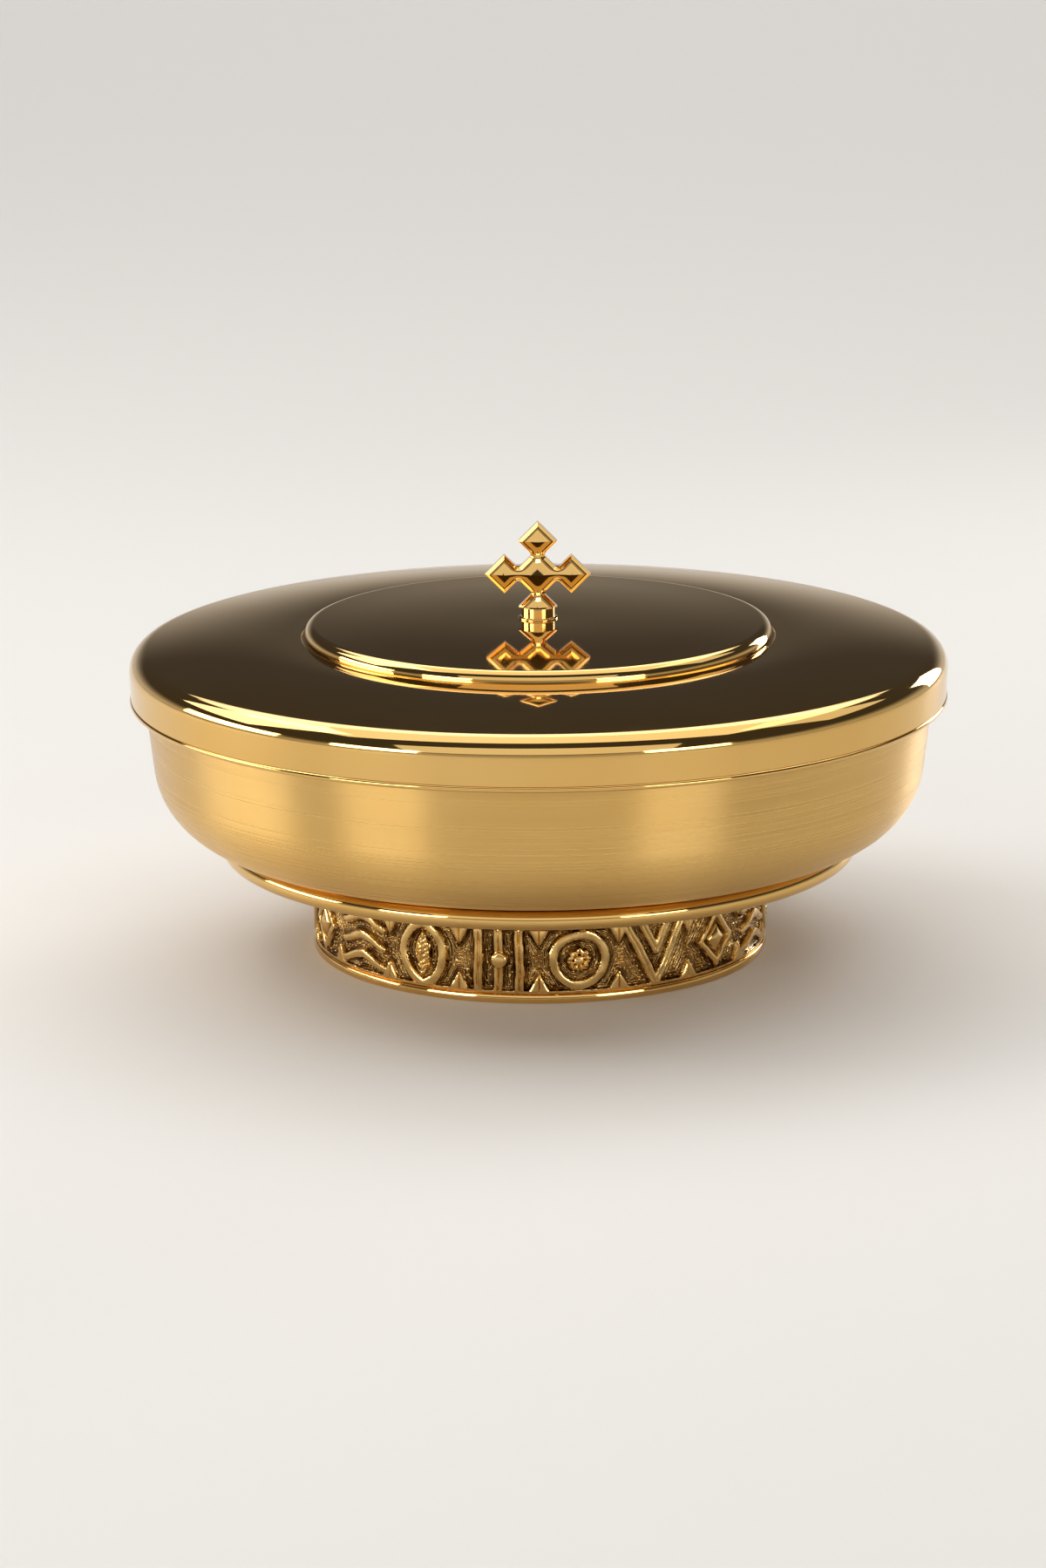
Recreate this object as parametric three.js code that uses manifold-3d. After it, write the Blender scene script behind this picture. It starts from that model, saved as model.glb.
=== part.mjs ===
// Bowl ciborium: a low spun bowl on a cast relief foot, under a loose cap lid with a faceted cross.
// Millimetres, +Z up. The origin is on the vessel's axis, at the level of the table.
import * as THREE from 'three';
import { mergeVertices } from 'three/addons/utils/BufferGeometryUtils.js';
import Module from 'manifold-3d';

const wasm = await Module();
wasm.setup();

// Facets of round forms, and the clearances between pieces
const SEGMENTS = 48;
const SMALL_SEGMENTS = 20;
const LOZENGE_SIDES = 4;
const CHORD_TOLERANCE = 0.15;
const LARGEST_SAG = 0.3;
const ROLL_STEPS = 9;
const FIT_GAP = 0.3;
const LID_SEAT_GAP = 0.3;
const CUT_MARGIN = 1;
const CONTACT_SAMPLES = 36;

// Foot rim: the bead ring that stands on the table
const RIM_HEIGHT = 2;
const RIM_OVERHANG = 0.1;
const RIM_ROUND = 0.85;

// Cast relief ring
const RING_RADIUS = 49.2;
const RING_WALL = 2.7;
const RING_HEIGHT = 15;
const RING_BORDER_HEIGHT = 0.8;
const RING_BORDER_RISE = 0.7;
const LEDGE_WIDTH = 6;
const LEDGE_THICKNESS = 2;

// Relief on the ring: each motif fills one cell of the frieze
const RELIEF_HEIGHT = 1.1;
const RELIEF_ROOT = 0.6;
const RELIEF_CREST_SHARE = 0.7;
const MOTIF_ROUNDS = 3;
const MOTIF_OVERLAP = 0.1;
const RIDGE_HALF_WIDTH = 1.15;
const ROUNDEL_BOSS = 2.5;
const ROUNDEL_SIDES = 14;
const BOSS_SIDES = 8;
const LOZENGE_SQUEEZE = 0.88;
const LOZENGE_CORE = 3.4;
const ALMOND_HALF_WIDTH = 4.8;
const ALMOND_RIB = 3.2;
const ALMOND_STEPS = 7;
const CHEVRON_SPREAD = 7;
const CHEVRON_STEP = 7.4;
const WAVE_SPACING = 4.3;
const WAVE_RISE = 1.1;
const WAVE_LENGTH = 7;
const WAVE_POINTS = 9;
const RIB_PITCH = 4.4;
const RIB_COUNT = 3;
const RIB_BEAD = 1.9;
const SPANDREL_HALF_WIDTH = 2.1;
const SPANDREL_REACH = 3.8;

// Saucer under the bowl
const SAUCER_SHEET = 1;
const SAUCER_RADIUS = 70.6;
const SAUCER_RISE = 4.7;
const SAUCER_SEAT_OVERHANG = 0.7;
const SAUCER_ROUND = 20;
const SAUCER_EDGE_RADIUS = 2.2;

// Bowl
const BOWL_SHEET = 1;
const BOWL_RADIUS = 87;
const BOWL_HEIGHT = 39.8;
const BOWL_CORNER_ROUND = 17.3;
const BOWL_WALL_DRAW = 3.8;
const BOWL_LIP_HEIGHT = 6.1;
const BOWL_WALL_ROUND = 60;
const BOWL_BEAD_RADIUS = 1;

// Stud, washer and nut that hold the foot together
const BOSS_RADIUS = 12;
const FOOT_STUD_RADIUS = 3;
const FOOT_STUD_END = 1.2;
const PLATE_THICKNESS = 2;
const PLATE_EDGE_GAP = 0.5;
const FOOT_WASHER_RADIUS = 9;
const FOOT_WASHER_THICKNESS = 1.2;
const FOOT_NUT_FLATS = 10;
const FOOT_NUT_HEIGHT = 5;

// Lid
const LID_SHEET = 1;
const LID_RIM_CLEARANCE = 0.7;
const LID_SIDE = 10.9;
const LID_TAPER = 0.4;
const LID_SHOULDER_ROUND = 4.4;
const LID_FALL_SLOPE = 8;
const LID_FALL_SHARE = 0.75;
const DISC_RADIUS = 51.4;
const DISC_STEP = 2.7;
const DISC_EDGE_ROUND = 2.2;
const DISC_FOOT_ROUND = 0.3;
const DISC_CROWN_RADIUS = 24;
const DISC_CROWN_SLOPE = 1.4;
const DISC_CROWN_ROUND = 1350;

// Finial: cross, collar, stud, washer and nut
const CROSS_REACH = 7.35;
const LOZENGE_HALF = 4.25;
const HEART_HALF = 5.1;
const CROSS_BEVEL = 0.7;
const CROSS_EDGE = 1;
const CROSS_FIELD = 1.7;
const CROSS_PEAK = 2.7;
const NECK_HALF_WIDTH = 1.35;
const NECK_HALF_DEPTH = 1.9;
const COLLAR_RADIUS = 3.7;
const COLLAR_FLANGE_RADIUS = 4.35;
const COLLAR_FLANGE_HEIGHT = 0.45;
const COLLAR_HEIGHT = 2.65;
const FINIAL_STUD_RADIUS = 1.5;
const FINIAL_STUD_SOCKET = 1.6;
const FINIAL_STUD_END = 0.8;
const FINIAL_WASHER_RADIUS = 3.5;
const FINIAL_WASHER_THICKNESS = 0.5;
const FINIAL_NUT_FLATS = 5.5;
const FINIAL_NUT_HEIGHT = 2.4;

const WELD_DISTANCE = 1e-4;
const radians = THREE.MathUtils.degToRad;

// Levels of the foot's stack, from the table up
const RING_Z = RIM_HEIGHT;
const SAUCER_Z = RING_Z + RING_HEIGHT;
const BOSS_Z = SAUCER_Z + SAUCER_SHEET;
const PLATE_TOP = SAUCER_Z - LEDGE_THICKNESS;
const FOOT_WASHER_TOP = PLATE_TOP - PLATE_THICKNESS;
const FOOT_NUT_TOP = FOOT_WASHER_TOP - FOOT_WASHER_THICKNESS;

// Widths of the foot
const RING_INNER_RADIUS = RING_RADIUS - RING_WALL;
const CREST_RADIUS = RING_RADIUS + RELIEF_HEIGHT;
const RIM_RADIUS = CREST_RADIUS + RIM_OVERHANG;
const FIELD_HALF_HEIGHT = RING_HEIGHT / 2 - RING_BORDER_HEIGHT;
const MOTIF_HALF_HEIGHT = FIELD_HALF_HEIGHT + MOTIF_OVERLAP;
const CREST_HALF_WIDTH = RIDGE_HALF_WIDTH * RELIEF_CREST_SHARE;

// The saucer's cone, its rolled edge, and the bowl that rests on it
const SAUCER_SEAT_RADIUS = CREST_RADIUS + SAUCER_SEAT_OVERHANG;
const SAUCER_EDGE_CENTRE = SAUCER_RADIUS - SAUCER_EDGE_RADIUS;
const SAUCER_SLOPE = Math.atan2(SAUCER_RISE, SAUCER_EDGE_CENTRE - SAUCER_SEAT_RADIUS);
const SAUCER_EDGE_Z = SAUCER_Z + SAUCER_RISE + SAUCER_EDGE_RADIUS * Math.cos(SAUCER_SLOPE);
const BOWL_Z = SAUCER_EDGE_Z + SAUCER_EDGE_RADIUS + FIT_GAP;
const BOWL_RIM_TOP = BOWL_Z + BOWL_HEIGHT;
const BOWL_BEAD_CENTRE = BOWL_RADIUS - BOWL_SHEET + BOWL_BEAD_RADIUS;

// The lid's side clears the bowl's rolled rim, and its brim falls from half its width outwards
const LID_RADIUS = BOWL_BEAD_CENTRE + BOWL_BEAD_RADIUS + LID_RIM_CLEARANCE + LID_SHEET + LID_TAPER;
const BRIM_HALF_WIDTH = (LID_RADIUS - DISC_RADIUS) / 2;
const LID_FALL_RADIUS = DISC_RADIUS + BRIM_HALF_WIDTH;
const LID_FALL_ROUND = (LID_FALL_SHARE * BRIM_HALF_WIDTH) / Math.tan(radians(LID_FALL_SLOPE) / 2);

// Heights within the lid, from its hem up
const LID_FLAT = LID_SIDE + BRIM_HALF_WIDTH * Math.tan(radians(LID_FALL_SLOPE));
const DISC_EDGE = LID_FLAT + DISC_STEP;
const LID_TOP = DISC_EDGE + (DISC_RADIUS - DISC_CROWN_RADIUS) * Math.tan(radians(DISC_CROWN_SLOPE));

// Holes for the two studs
const FOOT_STUD_HOLE = FOOT_STUD_RADIUS + FIT_GAP;
const FINIAL_STUD_HOLE = FINIAL_STUD_RADIUS + FIT_GAP;

// Signed volume of an indexed mesh: negative when its faces point inwards
function signedVolume(geometry) {
  const position = geometry.getAttribute('position');
  const index = geometry.getIndex();
  const a = new THREE.Vector3();
  const b = new THREE.Vector3();
  const c = new THREE.Vector3();
  let volume = 0;
  for (let i = 0; i < index.count; i += 3) {
    a.fromBufferAttribute(position, index.getX(i));
    b.fromBufferAttribute(position, index.getX(i + 1));
    c.fromBufferAttribute(position, index.getX(i + 2));
    volume += a.dot(b.cross(c)) / 6;
  }
  return volume;
}

// One closed mesh with shared vertices, no collapsed triangles and its faces pointing out
function welded(source) {
  const bare = source.clone();
  bare.deleteAttribute('normal');
  bare.deleteAttribute('uv');
  const geometry = mergeVertices(bare, WELD_DISTANCE);
  const index = geometry.getIndex();
  const triangles = [];
  for (let i = 0; i < index.count; i += 3) {
    const corners = [index.getX(i), index.getX(i + 1), index.getX(i + 2)];
    if (new Set(corners).size === 3) triangles.push(corners);
  }
  geometry.setIndex(triangles.flat());
  if (signedVolume(geometry) < 0) geometry.setIndex(triangles.flatMap(([i, j, k]) => [i, k, j]));
  return geometry;
}

// A mesh as a solid for joining and cutting, and back again
function toSolid(geometry) {
  const mesh = welded(geometry);
  const vertProperties = new Float32Array(mesh.getAttribute('position').array);
  const triVerts = new Uint32Array(mesh.getIndex().array);
  return new wasm.Manifold(new wasm.Mesh({ numProp: 3, vertProperties, triVerts }));
}

function toGeometry(solid) {
  const mesh = solid.getMesh();
  const geometry = new THREE.BufferGeometry();
  geometry.setAttribute('position', new THREE.BufferAttribute(new Float32Array(mesh.vertProperties), 3));
  geometry.setIndex(Array.from(mesh.triVerts));
  return geometry;
}

function joined(first, ...others) {
  return toGeometry(others.reduce((whole, next) => whole.add(toSolid(next)), toSolid(first)));
}

function cut(first, ...tools) {
  return toGeometry(tools.reduce((rest, tool) => rest.subtract(toSolid(tool)), toSolid(first)));
}

// An outline of [radius, height, rounding] corners, with a tangent arc in place of each rounded corner
function rounded(corners) {
  const points = [];
  corners.forEach(([r, z, round], i) => {
    const here = new THREE.Vector2(r, z);
    if (!round || i === 0 || i === corners.length - 1) {
      points.push(here);
      return;
    }
    const before = new THREE.Vector2(corners[i - 1][0], corners[i - 1][1]).sub(here).normalize();
    const after = new THREE.Vector2(corners[i + 1][0], corners[i + 1][1]).sub(here).normalize();
    const turn = Math.PI - Math.acos(before.dot(after));
    const middle = before.clone().add(after).normalize();
    const centre = here.clone().addScaledVector(middle, round / Math.cos(turn / 2));
    const start = here.clone().addScaledVector(before, round * Math.tan(turn / 2)).sub(centre);
    const way = Math.sign(after.cross(before));
    const sag = Math.min(CHORD_TOLERANCE / round, LARGEST_SAG);
    const steps = Math.max(2, Math.ceil(turn / (2 * Math.acos(1 - sag))));
    for (let k = 0; k <= steps; k += 1) {
      const arm = start.clone().rotateAround(new THREE.Vector2(), (way * turn * k) / steps);
      points.push(centre.clone().add(arm));
    }
  });
  return points;
}

// The outline moved sideways by one sheet: to the left of its direction, or to the right if negative
function offset(points, distance) {
  const sides = points.slice(1).map((p, i) => {
    const along = p.clone().sub(points[i]).normalize();
    return new THREE.Vector2(-along.y, along.x);
  });
  return points.map((p, i) => {
    const a = sides[Math.max(i - 1, 0)];
    const b = sides[Math.min(i, sides.length - 1)];
    return p.clone().addScaledVector(a.clone().add(b), distance / (1 + a.dot(b)));
  });
}

// The height of an outline at a radius
function heightAt(points, radius) {
  const i = points.findIndex((p, k) => k > 0 && p.x >= radius && points[k - 1].x < radius);
  const a = points[i - 1];
  const b = points[i];
  return a.y + ((b.y - a.y) * (radius - a.x)) / (b.x - a.x);
}

// The height of a round bead's centre when it touches the outline above it
function beadContact(points, centre, bead) {
  const angles = Array.from({ length: CONTACT_SAMPLES + 1 }, (_, i) => (Math.PI * i) / CONTACT_SAMPLES);
  return Math.min(...angles.map((a) => heightAt(points, centre + bead * Math.cos(a)) - bead * Math.sin(a)));
}

// Sheet with a full-round rolled edge. Its smooth side runs on into the roll, which curls over the
// other side: to the left of the outline's direction, or to the right if the sheet is negative.
function rolledSheet(smooth, sheet, bead) {
  const end = smooth[smooth.length - 1];
  const along = end.clone().sub(smooth[smooth.length - 2]).normalize();
  const across = new THREE.Vector2(-along.y, along.x).multiplyScalar(Math.sign(sheet));
  const centre = end.clone().addScaledVector(across, bead);
  const sweep = 2 * Math.PI - Math.acos((bead - Math.abs(sheet)) / bead);
  const roll = Array.from({ length: ROLL_STEPS }, (_, i) => {
    const angle = (sweep * (i + 1)) / ROLL_STEPS;
    const arm = along.clone().multiplyScalar(Math.sin(angle)).addScaledVector(across, -Math.cos(angle));
    return centre.clone().addScaledVector(arm, bead);
  });
  return [...smooth, ...roll, ...offset(smooth, sheet).slice(0, -1).reverse()];
}

// A body turned about the Z axis from an outline that closes on itself or on the axis
function turned(points, segments = SEGMENTS) {
  return new THREE.LatheGeometry(points, segments).rotateX(Math.PI / 2);
}

function turnedRing(points, segments = SEGMENTS) {
  return turned([...points, points[0]], segments);
}

// Spun sheet metal: one side as an outline, the other one sheet away
function spun(outline, sheet) {
  return turnedRing([...outline, ...offset(outline, sheet).reverse()]);
}

function washer(bore, radius, thickness, segments = SMALL_SEGMENTS) {
  return turnedRing(rounded([[bore, 0], [radius, 0], [radius, thickness], [bore, thickness]]), segments);
}

function rod(radius, from, to, segments = SMALL_SEGMENTS) {
  const shape = new THREE.CylinderGeometry(radius, radius, to - from, segments);
  return shape.rotateX(Math.PI / 2).translate(0, 0, (from + to) / 2);
}

function hexNut(flats, bore, height) {
  const shape = new THREE.Shape();
  for (let i = 0; i < 6; i += 1) {
    const angle = (i * Math.PI) / 3;
    const corner = [Math.cos(angle), Math.sin(angle)].map((v) => (v * flats) / Math.sqrt(3));
    if (i === 0) shape.moveTo(...corner);
    else shape.lineTo(...corner);
  }
  const hole = new THREE.Path().absarc(0, 0, bore, 0, 2 * Math.PI, true);
  shape.holes.push(hole);
  const options = { depth: height, bevelEnabled: false, curveSegments: SMALL_SEGMENTS };
  return new THREE.ExtrudeGeometry(shape, options);
}

// Foot rim: a bead ring with a flat underside
function footRim() {
  return turnedRing(rounded([
    [RING_INNER_RADIUS, 0],
    [RIM_RADIUS, 0, RIM_ROUND],
    [RIM_RADIUS, RIM_HEIGHT, RIM_ROUND],
    [RING_INNER_RADIUS, RIM_HEIGHT],
  ]));
}

// A relief ridge along a path on the flat frieze. The extrusion lays its section's x axis towards -w.
function ridge(curve, steps) {
  const section = new THREE.Shape();
  section.moveTo(RELIEF_ROOT, -RIDGE_HALF_WIDTH);
  section.lineTo(RELIEF_ROOT, RIDGE_HALF_WIDTH);
  section.lineTo(-RELIEF_HEIGHT, CREST_HALF_WIDTH);
  section.lineTo(-RELIEF_HEIGHT, -CREST_HALF_WIDTH);
  section.closePath();
  return new THREE.ExtrudeGeometry(section, { steps, bevelEnabled: false, extrudePath: curve });
}

function straightRidge(from, to) {
  return ridge(new THREE.LineCurve3(new THREE.Vector3(...from, 0), new THREE.Vector3(...to, 0)), 1);
}

function curvedRidge(points, steps) {
  return ridge(new THREE.CatmullRomCurve3(points.map((p) => new THREE.Vector3(...p, 0))), steps);
}

// A relief ridge that closes in a circle, or in a lozenge when it has four sides
function ringRidge(radius, sides) {
  return turnedRing(rounded([
    [radius - RIDGE_HALF_WIDTH, -RELIEF_ROOT],
    [radius + RIDGE_HALF_WIDTH, -RELIEF_ROOT],
    [radius + CREST_HALF_WIDTH, RELIEF_HEIGHT],
    [radius - CREST_HALF_WIDTH, RELIEF_HEIGHT],
  ]), sides);
}

function boss(radius, sides) {
  return turned(rounded([
    [0, -RELIEF_ROOT],
    [radius, -RELIEF_ROOT],
    [radius, RELIEF_HEIGHT / 2],
    [radius / 2, RELIEF_HEIGHT],
    [0, RELIEF_HEIGHT],
  ]), sides);
}

// The motifs of the frieze, laid flat: u along the frieze, v up from its middle, w out of its ground
function roundel() {
  return [ringRidge(FIELD_HALF_HEIGHT - RIDGE_HALF_WIDTH, ROUNDEL_SIDES), boss(ROUNDEL_BOSS, BOSS_SIDES)];
}

function chevrons() {
  const top = MOTIF_HALF_HEIGHT;
  return [0, CHEVRON_STEP].flatMap((step) => {
    const spread = CHEVRON_SPREAD * (1 - step / (2 * top));
    return [-spread, spread].map((end) => straightRidge([0, step - top], [end, top]));
  });
}

function lozenge() {
  const border = ringRidge(FIELD_HALF_HEIGHT - RIDGE_HALF_WIDTH, LOZENGE_SIDES);
  return [border, boss(LOZENGE_CORE, LOZENGE_SIDES)].map((part) => part.scale(LOZENGE_SQUEEZE, 1, 1));
}

function waves() {
  return [-WAVE_SPACING, 0, WAVE_SPACING].map((level) => {
    const points = Array.from({ length: WAVE_POINTS }, (_, i) => {
      const u = WAVE_LENGTH * (i / (WAVE_POINTS - 1) - 0.5) * 2;
      return [u, level + WAVE_RISE * Math.cos((u * Math.PI) / WAVE_LENGTH)];
    });
    return curvedRidge(points, WAVE_POINTS - 1);
  });
}

function almond() {
  const tip = MOTIF_HALF_HEIGHT;
  const bows = [-1, 1].map((side) => [[0, -tip], [side * ALMOND_HALF_WIDTH, 0], [0, tip]]);
  const rib = straightRidge([0, -ALMOND_RIB], [0, ALMOND_RIB]);
  return [...bows.map((bow) => curvedRidge(bow, ALMOND_STEPS)), rib];
}

function ribs() {
  const middle = (RIB_COUNT - 1) / 2;
  const lines = Array.from({ length: RIB_COUNT }, (_, i) => (i - middle) * RIB_PITCH);
  const bars = lines.map((u) => straightRidge([u, -MOTIF_HALF_HEIGHT], [u, MOTIF_HALF_HEIGHT]));
  return [...bars, boss(RIB_BEAD, BOSS_SIDES)];
}

// Two points that grow from the borders between two motifs
function spandrel() {
  return [-1, 1].map((side) => {
    const base = side * MOTIF_HALF_HEIGHT;
    const shape = new THREE.Shape();
    shape.moveTo(-SPANDREL_HALF_WIDTH, base);
    shape.lineTo(SPANDREL_HALF_WIDTH, base);
    shape.lineTo(0, base - side * SPANDREL_REACH);
    shape.closePath();
    const options = { depth: RELIEF_ROOT + RELIEF_HEIGHT, bevelEnabled: false };
    return new THREE.ExtrudeGeometry(shape, options).translate(0, 0, -RELIEF_ROOT);
  });
}

// Bends a flat motif on to the ring, its middle at the given angle
function bent(geometry, angle) {
  const shape = geometry.clone();
  const position = shape.getAttribute('position');
  for (let i = 0; i < position.count; i += 1) {
    const turn = angle + position.getX(i) / RING_RADIUS;
    const radius = RING_RADIUS + position.getZ(i);
    const height = position.getY(i) + RING_HEIGHT / 2;
    position.setXYZ(i, radius * Math.sin(turn), -radius * Math.cos(turn), height);
  }
  return shape;
}

// Cast ring: wall with two plain borders and an inner ledge, and the frieze joined on
function reliefRing() {
  const border = RING_RADIUS + RING_BORDER_RISE;
  const ledge = RING_INNER_RADIUS - LEDGE_WIDTH;
  const wall = turnedRing(rounded([
    [RING_INNER_RADIUS, 0],
    [border, 0],
    [border, RING_BORDER_HEIGHT],
    [RING_RADIUS, RING_BORDER_HEIGHT],
    [RING_RADIUS, RING_HEIGHT - RING_BORDER_HEIGHT],
    [border, RING_HEIGHT - RING_BORDER_HEIGHT],
    [border, RING_HEIGHT],
    [ledge, RING_HEIGHT],
    [ledge, RING_HEIGHT - LEDGE_THICKNESS],
    [RING_INNER_RADIUS, RING_HEIGHT - LEDGE_THICKNESS],
  ]));
  const motifs = [roundel(), chevrons(), lozenge(), waves(), almond(), ribs()];
  const cells = motifs.length * MOTIF_ROUNDS;
  const relief = Array.from({ length: cells }, (_, i) => {
    const middle = (2 * Math.PI * (i + 0.5)) / cells;
    const end = (2 * Math.PI * (i + 1)) / cells;
    const motif = motifs[i % motifs.length].map((piece) => bent(welded(piece), middle));
    return [...motif, ...spandrel().map((piece) => bent(welded(piece), end))];
  });
  return joined(wall, ...relief.flat());
}

// Saucer: a flat seat that dishes up to a round rolled edge
function saucer() {
  return turnedRing(rolledSheet(rounded([
    [FOOT_STUD_HOLE, 0],
    [SAUCER_SEAT_RADIUS, 0, SAUCER_ROUND],
    [SAUCER_EDGE_CENTRE + SAUCER_EDGE_RADIUS * Math.sin(SAUCER_SLOPE), SAUCER_RISE],
  ]), SAUCER_SHEET, SAUCER_EDGE_RADIUS));
}

// Bowl: a flat floor, a round corner and a drawn wall, with its rim rolled outwards
function bowl() {
  const outside = rounded([
    [0, 0],
    [BOWL_RADIUS - BOWL_WALL_DRAW, 0, BOWL_CORNER_ROUND],
    [BOWL_RADIUS, BOWL_HEIGHT - BOWL_LIP_HEIGHT, BOWL_WALL_ROUND],
    [BOWL_RADIUS, BOWL_HEIGHT - BOWL_BEAD_RADIUS],
  ]);
  return turned(rolledSheet(offset(outside, BOWL_SHEET), -BOWL_SHEET, BOWL_BEAD_RADIUS));
}

// Boss and stud under the bowl, its seat at the level zero
function bowlStud() {
  const end = FOOT_NUT_TOP - FOOT_NUT_HEIGHT - FOOT_STUD_END - BOWL_Z;
  return turned(rounded([
    [0, end],
    [FOOT_STUD_RADIUS, end],
    [FOOT_STUD_RADIUS, BOSS_Z - BOWL_Z],
    [BOSS_RADIUS, BOSS_Z - BOWL_Z],
    [BOSS_RADIUS, 0],
    [0, 0],
  ]), SMALL_SEGMENTS);
}

function clampPlate() {
  return washer(FOOT_STUD_HOLE, RING_INNER_RADIUS - PLATE_EDGE_GAP, PLATE_THICKNESS, SEGMENTS);
}

// Lid: a crowned centre disc, a step, a falling brim, a round shoulder and a short skirt
function lidOutline() {
  return rounded([
    [FINIAL_STUD_HOLE, LID_TOP],
    [DISC_CROWN_RADIUS, LID_TOP, DISC_CROWN_ROUND],
    [DISC_RADIUS, DISC_EDGE, DISC_EDGE_ROUND],
    [DISC_RADIUS, LID_FLAT, DISC_FOOT_ROUND],
    [LID_FALL_RADIUS, LID_FLAT, LID_FALL_ROUND],
    [LID_RADIUS, LID_SIDE, LID_SHOULDER_ROUND],
    [LID_RADIUS - LID_TAPER, 0],
  ]);
}

// The hem's height above the table, from the lid's inside resting on the bowl's rolled rim
const LID_UNDERSIDE = offset(lidOutline(), -LID_SHEET);
const LID_SEAT = beadContact(LID_UNDERSIDE, BOWL_BEAD_CENTRE, BOWL_BEAD_RADIUS);
const LID_Z = BOWL_RIM_TOP - BOWL_BEAD_RADIUS + LID_SEAT_GAP - LID_SEAT;

// One lozenge of the cross: four sides, a bevelled border, a raised field and a peak on each face
function lozengeGem(half) {
  const inner = half - CROSS_BEVEL * Math.SQRT2;
  const outline = [[0, -CROSS_PEAK], [inner, -CROSS_FIELD], [half, -CROSS_EDGE], [half, CROSS_EDGE],
    [inner, CROSS_FIELD], [0, CROSS_PEAK]];
  return new THREE.LatheGeometry(outline.map((p) => new THREE.Vector2(...p)), LOZENGE_SIDES);
}

// The bar that runs on through two opposite necks
function neckBar(length) {
  const bar = new THREE.CylinderGeometry(1, 1, length, LOZENGE_SIDES);
  return bar.scale(NECK_HALF_WIDTH, 1, NECK_HALF_DEPTH);
}

// Cross: a heart lozenge and four arms, the lowest cut off level as its foot, with a socket for the stud
function cross() {
  const arms = [[CROSS_REACH, 0], [-CROSS_REACH, 0], [0, CROSS_REACH], [0, -CROSS_REACH]];
  const gems = arms.map(([x, z]) => lozengeGem(LOZENGE_HALF).translate(x, 0, z));
  const upright = neckBar(2 * CROSS_REACH).rotateX(Math.PI / 2);
  const beam = neckBar(2 * CROSS_REACH).rotateX(Math.PI / 2).rotateY(Math.PI / 2);
  const size = 2 * (CROSS_REACH + LOZENGE_HALF);
  const below = new THREE.BoxGeometry(size, size, size).translate(0, 0, -CROSS_REACH - size / 2);
  const socket = rod(FINIAL_STUD_HOLE, -CROSS_REACH - CUT_MARGIN, -CROSS_REACH + FINIAL_STUD_SOCKET);
  const body = joined(lozengeGem(HEART_HALF), ...gems, upright, beam);
  return cut(body, below, socket).translate(0, 0, CROSS_REACH);
}

// Collar: a drum with a thin flange at its foot
function collar() {
  return turnedRing(rounded([
    [FINIAL_STUD_HOLE, 0],
    [COLLAR_FLANGE_RADIUS, 0],
    [COLLAR_FLANGE_RADIUS, COLLAR_FLANGE_HEIGHT],
    [COLLAR_RADIUS, COLLAR_FLANGE_HEIGHT],
    [COLLAR_RADIUS, COLLAR_HEIGHT],
    [FINIAL_STUD_HOLE, COLLAR_HEIGHT],
  ]), SMALL_SEGMENTS);
}

// Materials
const gold = { color: 0xc99f55, metalness: 1 };
const polishedGold = { ...gold, roughness: 0.08 };
const satinGold = { ...gold, roughness: 0.32 };
const castGold = { ...gold, color: 0xd2a75a, roughness: 0.2 };
const bareBrass = { color: 0xb08d4a, metalness: 1, roughness: 0.35 };

function piece(name, geometry, finish, z = 0) {
  const mesh = new THREE.Mesh(welded(geometry), new THREE.MeshStandardMaterial(finish));
  mesh.name = name;
  mesh.position.z = z;
  return mesh;
}

function footAndBowl() {
  const group = new THREE.Group();
  group.add(piece('foot_rim', footRim(), polishedGold));
  group.add(piece('relief_ring', reliefRing(), castGold, RING_Z));
  group.add(piece('saucer', saucer(), polishedGold, SAUCER_Z));
  group.add(piece('bowl_shell', bowl(), satinGold, BOWL_Z));
  group.add(piece('bowl_stud', bowlStud(), bareBrass, BOWL_Z));
  group.add(piece('clamp_plate', clampPlate(), bareBrass, PLATE_TOP - PLATE_THICKNESS));
  const footWasher = washer(FOOT_STUD_HOLE, FOOT_WASHER_RADIUS, FOOT_WASHER_THICKNESS);
  group.add(piece('foot_washer', footWasher, bareBrass, FOOT_NUT_TOP));
  const footNut = hexNut(FOOT_NUT_FLATS, FOOT_STUD_HOLE, FOOT_NUT_HEIGHT);
  group.add(piece('foot_nut', footNut, bareBrass, FOOT_NUT_TOP - FOOT_NUT_HEIGHT));
  return group;
}

function lid() {
  const group = new THREE.Group();
  group.position.z = LID_Z;
  const washerZ = LID_TOP - LID_SHEET - FINIAL_WASHER_THICKNESS;
  const nutZ = washerZ - FINIAL_NUT_HEIGHT;
  const crossZ = LID_TOP + COLLAR_HEIGHT;
  group.add(piece('lid_shell', spun(lidOutline(), -LID_SHEET), polishedGold));
  group.add(piece('finial_collar', collar(), polishedGold, LID_TOP));
  group.add(piece('finial_cross', cross(), polishedGold, crossZ));
  const stud = rod(FINIAL_STUD_RADIUS, nutZ - FINIAL_STUD_END, crossZ + FINIAL_STUD_SOCKET - FIT_GAP);
  group.add(piece('finial_stud', stud, bareBrass));
  const finialWasher = washer(FINIAL_STUD_HOLE, FINIAL_WASHER_RADIUS, FINIAL_WASHER_THICKNESS);
  group.add(piece('finial_washer', finialWasher, bareBrass, washerZ));
  const finialNut = hexNut(FINIAL_NUT_FLATS, FINIAL_STUD_HOLE, FINIAL_NUT_HEIGHT);
  group.add(piece('finial_nut', finialNut, bareBrass, nutZ));
  return group;
}

const ciborium = new THREE.Group();
ciborium.add(footAndBowl(), lid());

export default ciborium;
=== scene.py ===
"""Gilt bowl ciborium: the finish and fine shape of the vessel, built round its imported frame."""

import math

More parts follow.
